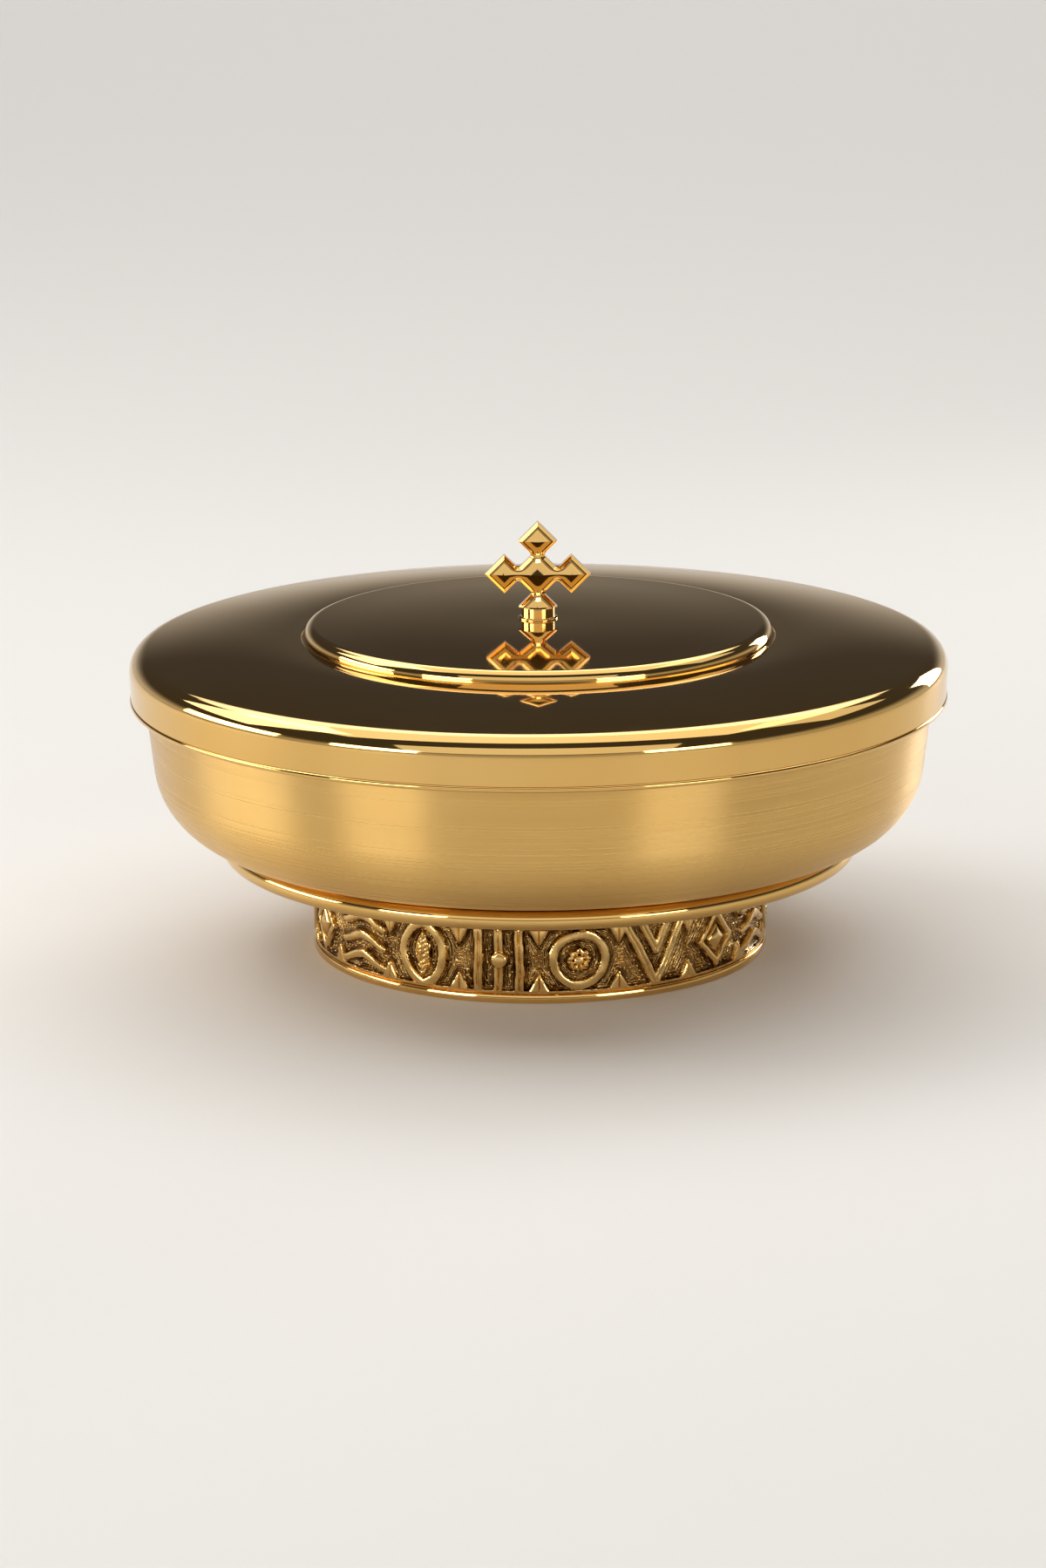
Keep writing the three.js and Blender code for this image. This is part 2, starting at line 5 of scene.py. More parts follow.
import bpy
import numpy as np
from mathutils import Matrix, Vector


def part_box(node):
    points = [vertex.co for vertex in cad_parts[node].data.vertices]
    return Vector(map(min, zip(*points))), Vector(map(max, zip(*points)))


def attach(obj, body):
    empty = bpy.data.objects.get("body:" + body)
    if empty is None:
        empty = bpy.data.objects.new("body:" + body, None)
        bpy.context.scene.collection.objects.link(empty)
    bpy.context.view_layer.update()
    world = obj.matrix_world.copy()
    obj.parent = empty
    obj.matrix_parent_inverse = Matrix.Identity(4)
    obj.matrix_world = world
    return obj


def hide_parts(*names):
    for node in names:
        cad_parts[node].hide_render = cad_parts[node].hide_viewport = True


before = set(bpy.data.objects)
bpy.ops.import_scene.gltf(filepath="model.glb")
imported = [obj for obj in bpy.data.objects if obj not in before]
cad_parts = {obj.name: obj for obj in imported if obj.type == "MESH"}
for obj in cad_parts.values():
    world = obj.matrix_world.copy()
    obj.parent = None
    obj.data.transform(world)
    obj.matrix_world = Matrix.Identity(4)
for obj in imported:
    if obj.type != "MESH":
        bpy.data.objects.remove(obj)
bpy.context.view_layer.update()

bl_info = {
    "name": "Bowl Ciborium",
    "version": (1, 0, 0),
    "blender": (4, 5, 0),
    "location": "View3D > Sidebar > Ciborium",
    "description": "Builds a gilt bowl ciborium round its packed frame",
    "category": "Add Mesh",
}

MM = 0.001
BODY_VESSEL = "vessel"
BODY_LID = "lid"
SLOT_POLISHED = "polished_gold"
SLOT_SATIN = "satin_gold"
SLOT_CAST = "cast_gold"
SLOT_BRASS = "bare_brass"

# Fineness of the meshes: turned steps round the axis, and steps of an arc by angle and by length in
# millimetres. Runs of so many gaps or more get a point one gap from each end. A point within TOUCH
# of the axis lies on it.
LARGE_SEGMENTS = 320
SMALL_SEGMENTS = 96
ARC_STEP = math.radians(6)
ARC_LENGTH = 1.2
SUPPORT_GAP = 0.2
LONG_RUN = 8
SHARP_ANGLE = math.radians(32)
TOUCH = 1e-6


def node_box(node):
    """Lowest and highest corners of a CAD node, in millimetres."""
    low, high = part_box(node)
    return [v / MM for v in low], [v / MM for v in high]


# Places and sizes that the frame gives, in millimetres
LID_LOW, LID_HIGH = node_box("lid_shell")
BOWL_LOW, BOWL_HIGH = node_box("bowl_shell")
SAUCER_LOW, SAUCER_HIGH = node_box("saucer")
RING_LOW, RING_HIGH = node_box("relief_ring")
RIM_HIGH = node_box("foot_rim")[1]
COLLAR_LOW, COLLAR_HIGH = node_box("finial_collar")
CROSS_LOW, CROSS_HIGH = node_box("finial_cross")

# Thickness of the spun sheet and radii of the two stud holes, in millimetres
SHEET = 1.0
STUD_HOLE = 1.8
FOOT_STUD_HOLE = 3.3


# Shapes

def rounded(corners, step=ARC_STEP):
    """An outline of (radius, height, rounding) corners, each rounded one made a tangent arc."""
    points = []
    for i, corner in enumerate(corners):
        here = np.array(corner[:2], float)
        if len(corner) < 3 or i in (0, len(corners) - 1):
            points.append(here)
            continue
        before = np.array(corners[i - 1][:2], float) - here
        after = np.array(corners[i + 1][:2], float) - here
        before /= np.linalg.norm(before)
        after /= np.linalg.norm(after)
        turn = math.pi - math.acos(np.clip(before @ after, -1, 1))
        middle = (before + after) / np.linalg.norm(before + after)
        centre = here + middle * corner[2] / math.cos(turn / 2)
        start = here + before * corner[2] * math.tan(turn / 2) - centre
        way = math.copysign(1, after[0] * before[1] - after[1] * before[0])
        steps = max(2, math.ceil(turn / step), math.ceil(turn * corner[2] / ARC_LENGTH))
        x, y = start
        for k in range(steps + 1):
            angle = way * turn * k / steps
            cos, sin = math.cos(angle), math.sin(angle)
            points.append(centre + [x * cos - y * sin, x * sin + y * cos])
    return points


def supported(points, gap=SUPPORT_GAP):
    """The outline with a point near each end of its long runs, which keeps their shading flat."""
    out = [points[0]]
    for a, b in zip(points, points[1:]):
        length = np.linalg.norm(b - a)
        if length > LONG_RUN * gap:
            out.append(a + (b - a) * gap / length)
            out.append(b - (b - a) * gap / length)
        out.append(b)
    return out


def offset(points, distance):
    """The outline moved to the left of its direction by a distance, or right if negative."""
    sides = []
    for a, b in zip(points, points[1:]):
        along = (b - a) / np.linalg.norm(b - a)
        sides.append(np.array([-along[1], along[0]]))
    moved = []
    for i, p in enumerate(points):
        a = sides[max(i - 1, 0)]
        b = sides[min(i, len(sides) - 1)]
        moved.append(p + (a + b) * distance / (1 + a @ b))
    return moved


def arc(centre, radius, start, end):
    """Points of an arc from one angle to another, in degrees."""
    count = max(2, math.ceil(abs(math.radians(end - start)) / ARC_STEP))
    angles = np.radians(np.linspace(start, end, count + 1))
    x, y = centre
    return [np.array([x + radius * math.cos(a), y + radius * math.sin(a)]) for a in angles]


def rolled_sheet(smooth, sheet, bead):
    """Sheet whose smooth side runs on into a full-round rolled edge over its other side."""
    end = smooth[-1]
    along = (end - smooth[-2]) / np.linalg.norm(end - smooth[-2])
    across = np.array([-along[1], along[0]]) * math.copysign(1, sheet)
    centre = end + across * bead
    sweep = 2 * math.pi - math.acos((bead - abs(sheet)) / bead)
    count = math.ceil(sweep / (2 * ARC_STEP))
    roll = []
    for k in range(1, count + 1):
        angle = sweep * k / count
        roll.append(centre + bead * (along * math.sin(angle) - across * math.cos(angle)))
    return smooth + roll + offset(smooth, sheet)[:-1][::-1]


def mesh_object(name, vertices, faces, sharp=SHARP_ANGLE):
    """A mesh object of vertices in millimetres, its faces smooth and its hard edges sharp."""
    mesh = bpy.data.meshes.new(name)
    mesh.from_pydata((np.asarray(vertices, float) * MM).tolist(), [], faces)
    mesh.validate()
    mesh.polygons.foreach_set("use_smooth", [True] * len(mesh.polygons))
    mesh.set_sharp_from_angle(angle=sharp)
    mesh.update()
    piece = bpy.data.objects.new(name, mesh)
    bpy.context.scene.collection.objects.link(piece)
    return piece


def turned_faces(count, segments, first_pole=False, last_pole=False, closed=True):
    """Faces of a lathe grid with its points in rings, one ring for each point of the outline."""
    faces = []
    for i in range(count if closed else count - 1):
        a, b = i, (i + 1) % count
        for k in range(segments):
            n = (k + 1) % segments
            corner = [a * segments + k, b * segments + k, b * segments + n, a * segments + n]
            if a == 0 and first_pole:
                corner = [0, corner[1], corner[2]]
            elif b == count - 1 and last_pole:
                corner = [corner[0], b * segments, corner[3]]
            faces.append(corner)
    return faces


def turned(name, outline, segments=LARGE_SEGMENTS, closed=True):
    """A body turned about the Z axis. Its outline closes on itself, or meets the axis."""
    angles = np.linspace(0, 2 * math.pi, segments, endpoint=False)
    profile = np.array(outline)
    ahead = np.roll(profile, -1, axis=0)
    if np.sum(profile[:, 0] * ahead[:, 1] - ahead[:, 0] * profile[:, 1]) < 0:
        profile = profile[::-1]
    r, z = profile[:, :1], profile[:, 1:]
    grid = np.stack([r * np.cos(angles), r * np.sin(angles), z + 0 * angles], axis=-1)
    poles = [not closed and profile[end, 0] < TOUCH for end in (0, -1)]
    faces = [face[::-1] for face in turned_faces(len(profile), segments, *poles, closed)]
    return clean(mesh_object(name, grid.reshape(-1, 3), faces))


def read(items, name, width, kind=float):
    """One property of every item of a mesh, as rows of numbers."""
    values = np.zeros(len(items) * width, kind)
    items.foreach_get(name, values)
    return values.reshape(-1, width)


def clean(piece):
    """Drops the points of a mesh that no face uses."""
    mesh = piece.data
    used = np.zeros(len(mesh.vertices), bool)
    used[read(mesh.loops, "vertex_index", 1, np.int32)] = True
    if used.all():
        return piece
    index = np.cumsum(used) - 1
    points = read(mesh.vertices, "co", 3)
    faces = [[int(index[v]) for v in face.vertices] for face in mesh.polygons]
    name = piece.name
    bpy.data.objects.remove(piece)
    bpy.data.meshes.remove(mesh)
    return mesh_object(name, points[used] / MM, faces)


def outward(piece):
    """Turns a closed mesh so that its faces point outwards."""
    mesh = piece.data
    mesh.calc_loop_triangles()
    points = read(mesh.vertices, "co", 3)
    corners = read(mesh.loop_triangles, "vertices", 3, np.int32)
    a, b, c = (points[corners[:, k]] for k in range(3))
    if np.sum(a * np.cross(b, c)) < 0:
        mesh.flip_normals()
    mesh.update()
    return piece


def finish_piece(piece, body, slot, *nodes):
    """Gives a piece its body and the finish of its slot, and hides the CAD nodes that it stands
    for.
    """
    piece.data.materials.clear()
    piece.data.materials.append(material_of(slot))
    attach(piece, body)
    if nodes:
        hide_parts(*nodes)


# Materials

QUARTER_TURN = 0.25
HOLLOW_ROUGHNESS = 0.17
RIPPLE_SPACING = 0.72
RIPPLE_DRIFT = 0.9


def linear(code):
    """An sRGB hex colour as linear red, green, blue and alpha."""
    channels = [int(code[i:i + 2], 16) / 255 for i in (1, 3, 5)]
    return [c / 12.92 if c <= 0.04045 else ((c + 0.055) / 1.055) ** 2.4 for c in channels] + [1.0]


def add(tree, kind, settings=None, inputs=None):
    """Adds a node with its settings. Its inputs are values, sockets, or nodes' first outputs."""
    node = tree.nodes.new(kind)
    for key, value in (settings or {}).items():
        setattr(node, key, value)
    for key, value in (inputs or {}).items():
        if isinstance(value, bpy.types.Node):
            value = value.outputs[0]
        if isinstance(value, bpy.types.NodeSocket):
            tree.links.new(value, node.inputs[key])
        else:
            node.inputs[key].default_value = value
    return node


def new_material(name):
    """An empty node material, with its tree."""
    material = bpy.data.materials.new(name)
    material.use_nodes = True
    material.node_tree.nodes.clear()
    return material, material.node_tree


# The patterns' sizes are in millimetres, from the marks of the tools. Polishing and turning lines
# of the real thing are finer than 0.1 mm, and are drawn as coarse as they need to show.

def turning_marks(tree, spacing, drift):
    """Noise in rings about the axis, as a lathe tool or a spun polishing mop leaves."""
    place = add(tree, "ShaderNodeTexCoord").outputs["Object"]
    x, y, z = add(tree, "ShaderNodeSeparateXYZ", inputs={0: place}).outputs
    flat = add(tree, "ShaderNodeCombineXYZ", inputs={0: x, 1: y})
    radius = add(tree, "ShaderNodeVectorMath", {"operation": "LENGTH"}, {0: flat}).outputs["Value"]
    run = add(tree, "ShaderNodeMath", {"operation": "ADD"}, {0: radius, 1: z})
    rings = add(tree, "ShaderNodeMath", {"operation": "MULTIPLY"}, {0: run, 1: 1 / (spacing * MM)})
    slow = add(tree, "ShaderNodeVectorMath", {"operation": "SCALE"}, {0: flat, "Scale": drift})
    slow_x, slow_y, _ = add(tree, "ShaderNodeSeparateXYZ", inputs={0: slow}).outputs
    vector = add(tree, "ShaderNodeCombineXYZ", inputs={0: slow_x, 1: slow_y, 2: rings})
    return add(tree, "ShaderNodeTexNoise", inputs={"Vector": vector, "Scale": 1.0, "Detail": 3.0})


def grain(tree, size, detail=4.0):
    """Even noise with features of about the given size."""
    place = add(tree, "ShaderNodeTexCoord").outputs["Object"]
    return add(tree, "ShaderNodeTexNoise",
               inputs={"Vector": place, "Scale": 1 / (size * MM), "Detail": detail})


def between(value, low, high, from_low=0.3, from_high=0.7):
    """Inputs of a map to one range of numbers from another, by default that of noise."""
    return {0: value, 1: from_low, 2: from_high, 3: low, 4: high}


def blend_of(factor, first, second):
    """Inputs of a mix of two hex colours."""
    return {0: factor, 6: linear(first), 7: linear(second)}


def bumps(tree, *layers):
    """Bumps on top of one another, from pairs of a height and its depth."""
    normal = None
    for height, depth in layers:
        inputs = {"Height": height, "Distance": depth * MM, "Strength": 1.0}
        if normal:
            inputs["Normal"] = normal
        normal = add(tree, "ShaderNodeBump", inputs=inputs)
    return normal


def gold_shader(tree, colour, roughness, normal, anisotropic=0.0):
    """Closes a metal's material: a bare metal surface, without coat."""
    inputs = {"Base Color": colour, "Metallic": 1.0, "Roughness": roughness, "Normal": normal}
    if anisotropic:
        place = add(tree, "ShaderNodeTexCoord").outputs["Object"]
        across = add(tree, "ShaderNodeVectorMath", {"operation": "CROSS_PRODUCT"},
                     {0: (0, 0, 1), 1: place})
        inputs["Anisotropic"] = anisotropic
        inputs["Anisotropic Rotation"] = QUARTER_TURN
        around = add(tree, "ShaderNodeVectorMath", {"operation": "NORMALIZE"}, {0: across})
        inputs["Tangent"] = around
    shader = add(tree, "ShaderNodeBsdfPrincipled", inputs=inputs)
    add(tree, "ShaderNodeOutputMaterial", inputs={"Surface": shader})


def polished_gold_plate(look):
    """Gold plate over spun brass, mop polished: a mirror with the faintest rings of spinning."""
    material, tree = new_material("polished_gold_plate")
    clouds = grain(tree, size=35, detail=2.0)
    colour = add(tree, "ShaderNodeMix", {"data_type": "RGBA"},
                 blend_of(clouds, look.gold_hex, look.gold_deep_hex)).outputs[2]
    polish = look.polish_roughness
    roughness = add(tree, "ShaderNodeMapRange",
                    inputs=between(grain(tree, size=9), polish * 0.75, polish * 1.3))
    rings = turning_marks(tree, spacing=2.4, drift=4.0)
    lines = turning_marks(tree, spacing=0.3, drift=18.0)
    gold_shader(tree, colour, roughness, bumps(tree, (rings, 0.0012), (lines, 0.00012)))
    return material


def satin_gold_plate(look):
    """Gold plate over a finely turned wall: soft light drawn out across the turning lines."""
    material, tree = new_material("satin_gold_plate")
    clouds = grain(tree, size=28, detail=2.0)
    colour = add(tree, "ShaderNodeMix", {"data_type": "RGBA"},
                 blend_of(clouds, look.gold_hex, look.gold_deep_hex)).outputs[2]
    marks = turning_marks(tree, spacing=0.45, drift=2.0)
    satin = look.satin_roughness
    roughness = add(tree, "ShaderNodeMapRange", inputs=between(marks, satin * 0.8, satin * 1.25))
    swells = turning_marks(tree, spacing=5.0, drift=1.0)
    normal = bumps(tree, (swells, 0.0012), (marks, 0.0007))
    gold_shader(tree, colour, roughness, normal, anisotropic=0.97)
    return material


def cast_gold_plate(look):
    """Gold plate over cast brass: rubbed flats in full gold, and rippled hollows darkened to brown
    as painted shade.
    """
    material, tree = new_material("cast_gold_plate")
    relief = add(tree, "ShaderNodeAttribute", {"attribute_name": "relief"}).outputs["Fac"]
    fold = add(tree, "ShaderNodeAttribute", {"attribute_name": "fold"}).outputs["Fac"]
    high = add(tree, "ShaderNodeMapRange", inputs=between(relief, 0.0, 1.0, 0.1, 0.75))
    open_ground = add(tree, "ShaderNodeMapRange", inputs=between(fold, 0.0, 0.55, 0.15, 1.5))
    # Raised flats and open ground keep the full gold. The rest turns to the hollow colour, which is
    # painted shade in the casting's recesses.
    unshaded_share = add(tree, "ShaderNodeMath", {"operation": "MAXIMUM"}, {0: high, 1: open_ground})
    cloud = add(tree, "ShaderNodeMapRange", inputs=between(grain(tree, size=3.0), -0.3, 0.3))
    bright = add(tree, "ShaderNodeMath", {"operation": "ADD", "use_clamp": True},
                 {0: unshaded_share, 1: cloud})
    colour = add(tree, "ShaderNodeMix", {"data_type": "RGBA"},
                 blend_of(bright, look.hollow_shade_hex, look.gold_hex)).outputs[2]
    roughness = add(tree, "ShaderNodeMapRange",
                    inputs=between(high, HOLLOW_ROUGHNESS, look.cast_roughness, 0.0, 1.0))
    turn = add(tree, "ShaderNodeMath", {"operation": "MULTIPLY_ADD"},
               {0: grain(tree, size=2.2, detail=1.0), 1: RIPPLE_DRIFT, 2: fold})
    phase = add(tree, "ShaderNodeMath", {"operation": "MULTIPLY"},
                {0: turn, 1: 2 * math.pi / RIPPLE_SPACING})
    wave = add(tree, "ShaderNodeMath", {"operation": "SINE"}, {0: phase})
    deep = add(tree, "ShaderNodeMath", {"operation": "SUBTRACT"}, {0: 1.0, 1: high})
    ripple = add(tree, "ShaderNodeMath", {"operation": "MULTIPLY"}, {0: wave, 1: deep})
    normal = bumps(tree, (grain(tree, size=0.9), 0.009), (ripple, 0.12))
    gold_shader(tree, colour, roughness, normal)
    return material


def turned_brass(look):
    """Turned bare brass of the fasteners: paler and duller than the plate, with open tool marks."""
    material, tree = new_material("turned_brass")
    colour = add(tree, "ShaderNodeMix", {"data_type": "RGBA"},
                 blend_of(grain(tree, size=6.0), look.brass_hex, look.gold_deep_hex)).outputs[2]
    marks = turning_marks(tree, spacing=0.35, drift=6.0)
    roughness = add(tree, "ShaderNodeMapRange", inputs=between(marks, 0.24, 0.4))
    gold_shader(tree, colour, roughness, bumps(tree, (marks, 0.004)))
    return material


# Settings that a user may change

class CiboriumLook(bpy.types.PropertyGroup):
    """Polish of the vessel, and its colours as sRGB hex codes."""

    gold_hex: bpy.props.StringProperty(
        name="Gold", description="Colour of the gold plate", default="#e3bd78")
    gold_deep_hex: bpy.props.StringProperty(
        name="Deep Gold", description="Warmer colour that clouds the gold plate",
        default="#d9ac60")
    # Brown painted shade for the hollows of the casting.
    hollow_shade_hex: bpy.props.StringProperty(
        name="Hollow", description="Colour of the gold in the hollows of the casting",
        default="#573713")
    brass_hex: bpy.props.StringProperty(
        name="Brass", description="Colour of the bare brass fasteners", default="#c2a15c")
    polish_roughness: bpy.props.FloatProperty(
        name="Polish", description="Roughness of the polished plate",
        default=0.05, min=0.0, max=1.0, subtype="FACTOR")
    satin_roughness: bpy.props.FloatProperty(
        name="Satin", description="Roughness of the turned wall",
        default=0.3, min=0.0, max=1.0, subtype="FACTOR")
    cast_roughness: bpy.props.FloatProperty(
        name="Casting", description="Roughness of the casting's rubbed crests",
        default=0.09, min=0.0, max=1.0, subtype="FACTOR")


class CiboriumForm(bpy.types.PropertyGroup):
    """Sizes of the vessel's fine shape."""

    hem_radius: bpy.props.FloatProperty(
        name="Hem", description="Radius of the rounded hem of the lid",
        default=0.62 * MM, unit="LENGTH")
    disc_step: bpy.props.FloatProperty(
        name="Disc Step", description="Height of the lid's raised disc",
        default=2.7 * MM, unit="LENGTH")
    relief_height: bpy.props.FloatProperty(
        name="Relief", description="Height of the frieze over its ground",
        default=1.1 * MM, unit="LENGTH")
    grain_radius: bpy.props.FloatProperty(
        name="Grains", description="Radius of the grains on the frieze's ground",
        default=0.26 * MM, unit="LENGTH")
    cross_border: bpy.props.FloatProperty(
        name="Cross Border", description="Width of the bevelled border of the cross",
        default=0.66 * MM, unit="LENGTH")


def settings():
    """The look and form settings of the scene."""
    scene = bpy.context.scene
    return scene.ciborium_look, scene.ciborium_form


def material_of(slot):
    """The finish of a slot, made on first use."""
    maker = {
        SLOT_POLISHED: polished_gold_plate,
        SLOT_SATIN: satin_gold_plate,
        SLOT_CAST: cast_gold_plate,
        SLOT_BRASS: turned_brass,
    }[slot]
    return bpy.data.materials.get(maker.__name__) or maker(settings()[0])


# The lid, in millimetres over its hem

LID_SIDE = 10.9
LID_SPREAD = 0.15
LID_TAPER = 0.4
LID_SHOULDER = 4.4
LID_SLOPE = math.radians(8)
DISC_RADIUS = 51.4
DISC_EDGE_ROUND = 2.2
GROOVE_DEPTH = 0.35
GROOVE_FLOOR = 0.45
GROOVE_MOUTH = 0.75
GROOVE_ROUND = 0.12
GROOVE_LIP_ROUND = 0.25
CROWN_RADIUS = 24.0
CROWN_START = 8.6
HEM_HEIGHT = 2.1
HEM_INSET = 0.35


def lid_outline(form):
    """The lid's outer side from the stud hole to the hem, with the hem's radius and place."""
    radius = LID_HIGH[0] + LID_SPREAD
    brim = (radius - DISC_RADIUS) / 2
    flat = LID_SIDE + brim * math.tan(LID_SLOPE)
    edge = flat + form.disc_step / MM
    top = LID_HIGH[2] - LID_LOW[2]
    crown_turn = math.atan2(top - edge, DISC_RADIUS - CROWN_RADIUS)
    crown_round = (CROWN_RADIUS - CROWN_START) / math.tan(crown_turn / 2)
    fall_round = (brim - LID_SHOULDER) / math.tan(LID_SLOPE / 2)
    hem = form.hem_radius / MM
    foot = radius - LID_TAPER
    return rounded([
        (STUD_HOLE, top),
        (CROWN_RADIUS, top, crown_round),
        (DISC_RADIUS, edge, DISC_EDGE_ROUND),
        (DISC_RADIUS, flat - GROOVE_DEPTH, GROOVE_ROUND),
        (DISC_RADIUS + GROOVE_FLOOR, flat - GROOVE_DEPTH, GROOVE_ROUND),
        (DISC_RADIUS + GROOVE_MOUTH, flat, GROOVE_LIP_ROUND),
        (DISC_RADIUS + brim, flat, fall_round),
        (radius, LID_SIDE, LID_SHOULDER),
        (foot, HEM_HEIGHT * hem),
    ]), foot, hem


class CIBORIUM_OT_lid(bpy.types.Operator):
    """Spins the lid with its raised disc, falling brim, shoulder and rounded hem"""

    bl_idname = "ciborium.lid"
    bl_label = "Lid"

    def execute(self, context):
        outer, foot, hem = lid_outline(settings()[1])
        bead = arc((foot - HEM_INSET, hem), hem, 70, -180)
        outline = supported(outer + bead + offset(outer, -SHEET)[::-1])
        outline = [p + [0, LID_LOW[2]] for p in outline]
        finish_piece(turned("lid_spun_shell", outline), BODY_LID, SLOT_POLISHED, "lid_shell")
        return {"FINISHED"}


# The bowl, in millimetres

BOWL_CORNER = 17.3
BOWL_DRAW = 3.8
BOWL_BREAK = 33.7
BOWL_WALL_ROUND = 60.0
BOWL_BEAD = 1.0


class CIBORIUM_OT_bowl(bpy.types.Operator):
    """Spins the bowl with its flat floor, round corner, drawn wall and rolled rim"""

    bl_idname = "ciborium.bowl"
    bl_label = "Bowl"

    def execute(self, context):
        radius = BOWL_HIGH[0] - 2 * BOWL_BEAD + SHEET
        height = BOWL_HIGH[2] - BOWL_LOW[2]
        outside = rounded([
            (0, 0),
            (radius - BOWL_DRAW, 0, BOWL_CORNER),
            (radius, BOWL_BREAK, BOWL_WALL_ROUND),
            (radius, height - BOWL_BEAD),
        ], ARC_STEP / 2)
        outline = rolled_sheet(supported(offset(outside, SHEET)), -SHEET, BOWL_BEAD)
        outline = [p + [0, BOWL_LOW[2]] for p in outline]
        piece = turned("bowl_spun_shell", outline, closed=False)
        finish_piece(piece, BODY_VESSEL, SLOT_SATIN, "bowl_shell")
        return {"FINISHED"}


# The saucer and the foot rim, in millimetres

SAUCER_EDGE = 2.2
SAUCER_RISE = 4.7
SAUCER_ROUND = 20.0
SAUCER_SEAT = 0.7
RIM_WIDTH = 3.8
RIM_FOOT = (-0.15, 0.55)
RIM_BELLY = (0.08, 1.6)
RIM_NECK = (-0.2, 0.5)
RIM_GAP = 0.1


class CIBORIUM_OT_saucer(bpy.types.Operator):
    """Spins the saucer under the bowl, with its rolled edge"""

    bl_idname = "ciborium.saucer"
    bl_label = "Saucer"

    def execute(self, context):
        edge = SAUCER_HIGH[0] - SAUCER_EDGE
        seat = RING_HIGH[0] + SAUCER_SEAT
        slope = math.atan2(SAUCER_RISE, edge - seat)
        underside = rounded([
            (FOOT_STUD_HOLE, 0),
            (seat, 0, SAUCER_ROUND),
            (edge + SAUCER_EDGE * math.sin(slope), SAUCER_RISE),
        ], ARC_STEP / 3)
        outline = rolled_sheet(supported(underside), SHEET, SAUCER_EDGE)
        outline = [p + [0, SAUCER_LOW[2]] for p in outline]
        finish_piece(turned("saucer_spun", outline), BODY_VESSEL, SLOT_POLISHED, "saucer")
        return {"FINISHED"}


class CIBORIUM_OT_foot_rim(bpy.types.Operator):
    """Turns the bead ring on which the vessel stands"""

    bl_idname = "ciborium.foot_rim"
    bl_label = "Foot Rim"

    def execute(self, context):
        inner = RING_HIGH[0] - RIM_WIDTH
        levels = (0, RIM_HIGH[2] * 0.5, RIM_HIGH[2])
        beads = [(RIM_HIGH[0] + out, level, rounding)
                 for level, (out, rounding) in zip(levels, (RIM_FOOT, RIM_BELLY, RIM_NECK))]
        outline = supported(rounded([(inner, 0), *beads, (inner, RIM_HIGH[2])]), RIM_GAP)
        finish_piece(turned("foot_rim_turned", outline), BODY_VESSEL, SLOT_POLISHED, "foot_rim")
        return {"FINISHED"}


# The frieze. Its motifs are drawn in cells, u along the ring and v up, in millimetres. Each gives
# the distance from its raised flats, below 0 on them, and what carving adds to their height, in
# shares of the relief.

RING_GROUND = 49.2
RING_INNER = 46.5
RING_BORDER = 0.8
RING_BORDER_RISE = 0.7
BORDER_COVE = 0.5
BORDER_EASE = 0.2
BORDER_SIDE = 0.55
LEDGE_RADIUS = 40.5
LEDGE_THICKNESS = 2.0
CELLS = 18
FRIEZE_COLUMNS = 1404
FRIEZE_ROWS = 61
FIELD_HALF = 6.7
FLAT_HALF = 0.86
SIDE_WIDTH = 0.34
CREST_FALL = 0.12
CREST_WIDTH = 0.45
HAND_UNEVENNESS = 0.03
FAR = 9.0


def bump_up(distance, radius):
    """A round-topped mound that meets the ground at its radius."""
    return np.sqrt(np.clip(1 - (distance / radius) ** 2, 0, 1))


def falling(distance, width):
    """1 at no distance, falling smoothly to 0 over a width."""
    return 0.5 + 0.5 * np.cos(math.pi * np.clip(distance / width, 0, 1))


def groove(away, depth, half_width):
    """The carving of a groove along a line, at a distance from it."""
    return -depth * falling(away, half_width)


def line_distance(u, v, a, b):
    """Distance to a straight line between two points."""
    along = (b[0] - a[0], b[1] - a[1])
    t = ((u - a[0]) * along[0] + (v - a[1]) * along[1]) / (along[0] ** 2 + along[1] ** 2)
    t = np.clip(t, 0, 1)
    return np.hypot(u - a[0] - t * along[0], v - a[1] - t * along[1])


def roundel(u, v):
    """A ring round a rosette of eight petals with an eye."""
    ring_radius, petal_radius, petal_swell, eye_radius = 5.55, 2.05, 0.5, 1.15
    radius = np.hypot(u, v)
    turn = 4 * np.arctan2(v, u)
    ring = np.abs(radius - ring_radius) - FLAT_HALF
    rosette = radius - (petal_radius + petal_swell * np.abs(np.cos(turn)))
    petals = groove(np.abs(np.sin(turn)) * radius / 4, 0.45, 0.22) * (radius > 1.0)
    eye = 0.35 * bump_up(radius, eye_radius) + groove(np.abs(radius - 1.2), 0.4, 0.25)
    return np.minimum(ring, rosette), np.where(rosette < SIDE_WIDTH, petals + eye, 0.0)


def chevrons(u, v):
    """Two nested chevrons that open towards the upper border."""
    top = 6.8
    distance = np.full_like(u, FAR)
    for foot, half_width in ((-6.8, 7.0), (0.6, 3.19)):
        away = line_distance(np.abs(u), v, (0, foot), (half_width, top))
        distance = np.minimum(distance, away)
    return distance - FLAT_HALF, groove(distance, 0.25, 0.28)


def lozenge(u, v):
    """A lozenge frame round a cut stone. The slant turns its reach into a distance."""
    squeeze, slant, frame_reach, frame_half = 0.88, 1.51, 5.55, 0.58
    stone_reach, table_reach, bevel_half = 3.1, 2.2, 1.2
    reach = np.abs(u) / squeeze + np.abs(v)
    frame_band = np.abs(reach - frame_reach) / slant - frame_half
    stone = (reach - stone_reach) / slant
    facets = 0.3 * np.clip((table_reach - reach) / bevel_half, -1.0, 1)
    return np.minimum(frame_band, stone), np.where(stone < SIDE_WIDTH, facets, 0.0)


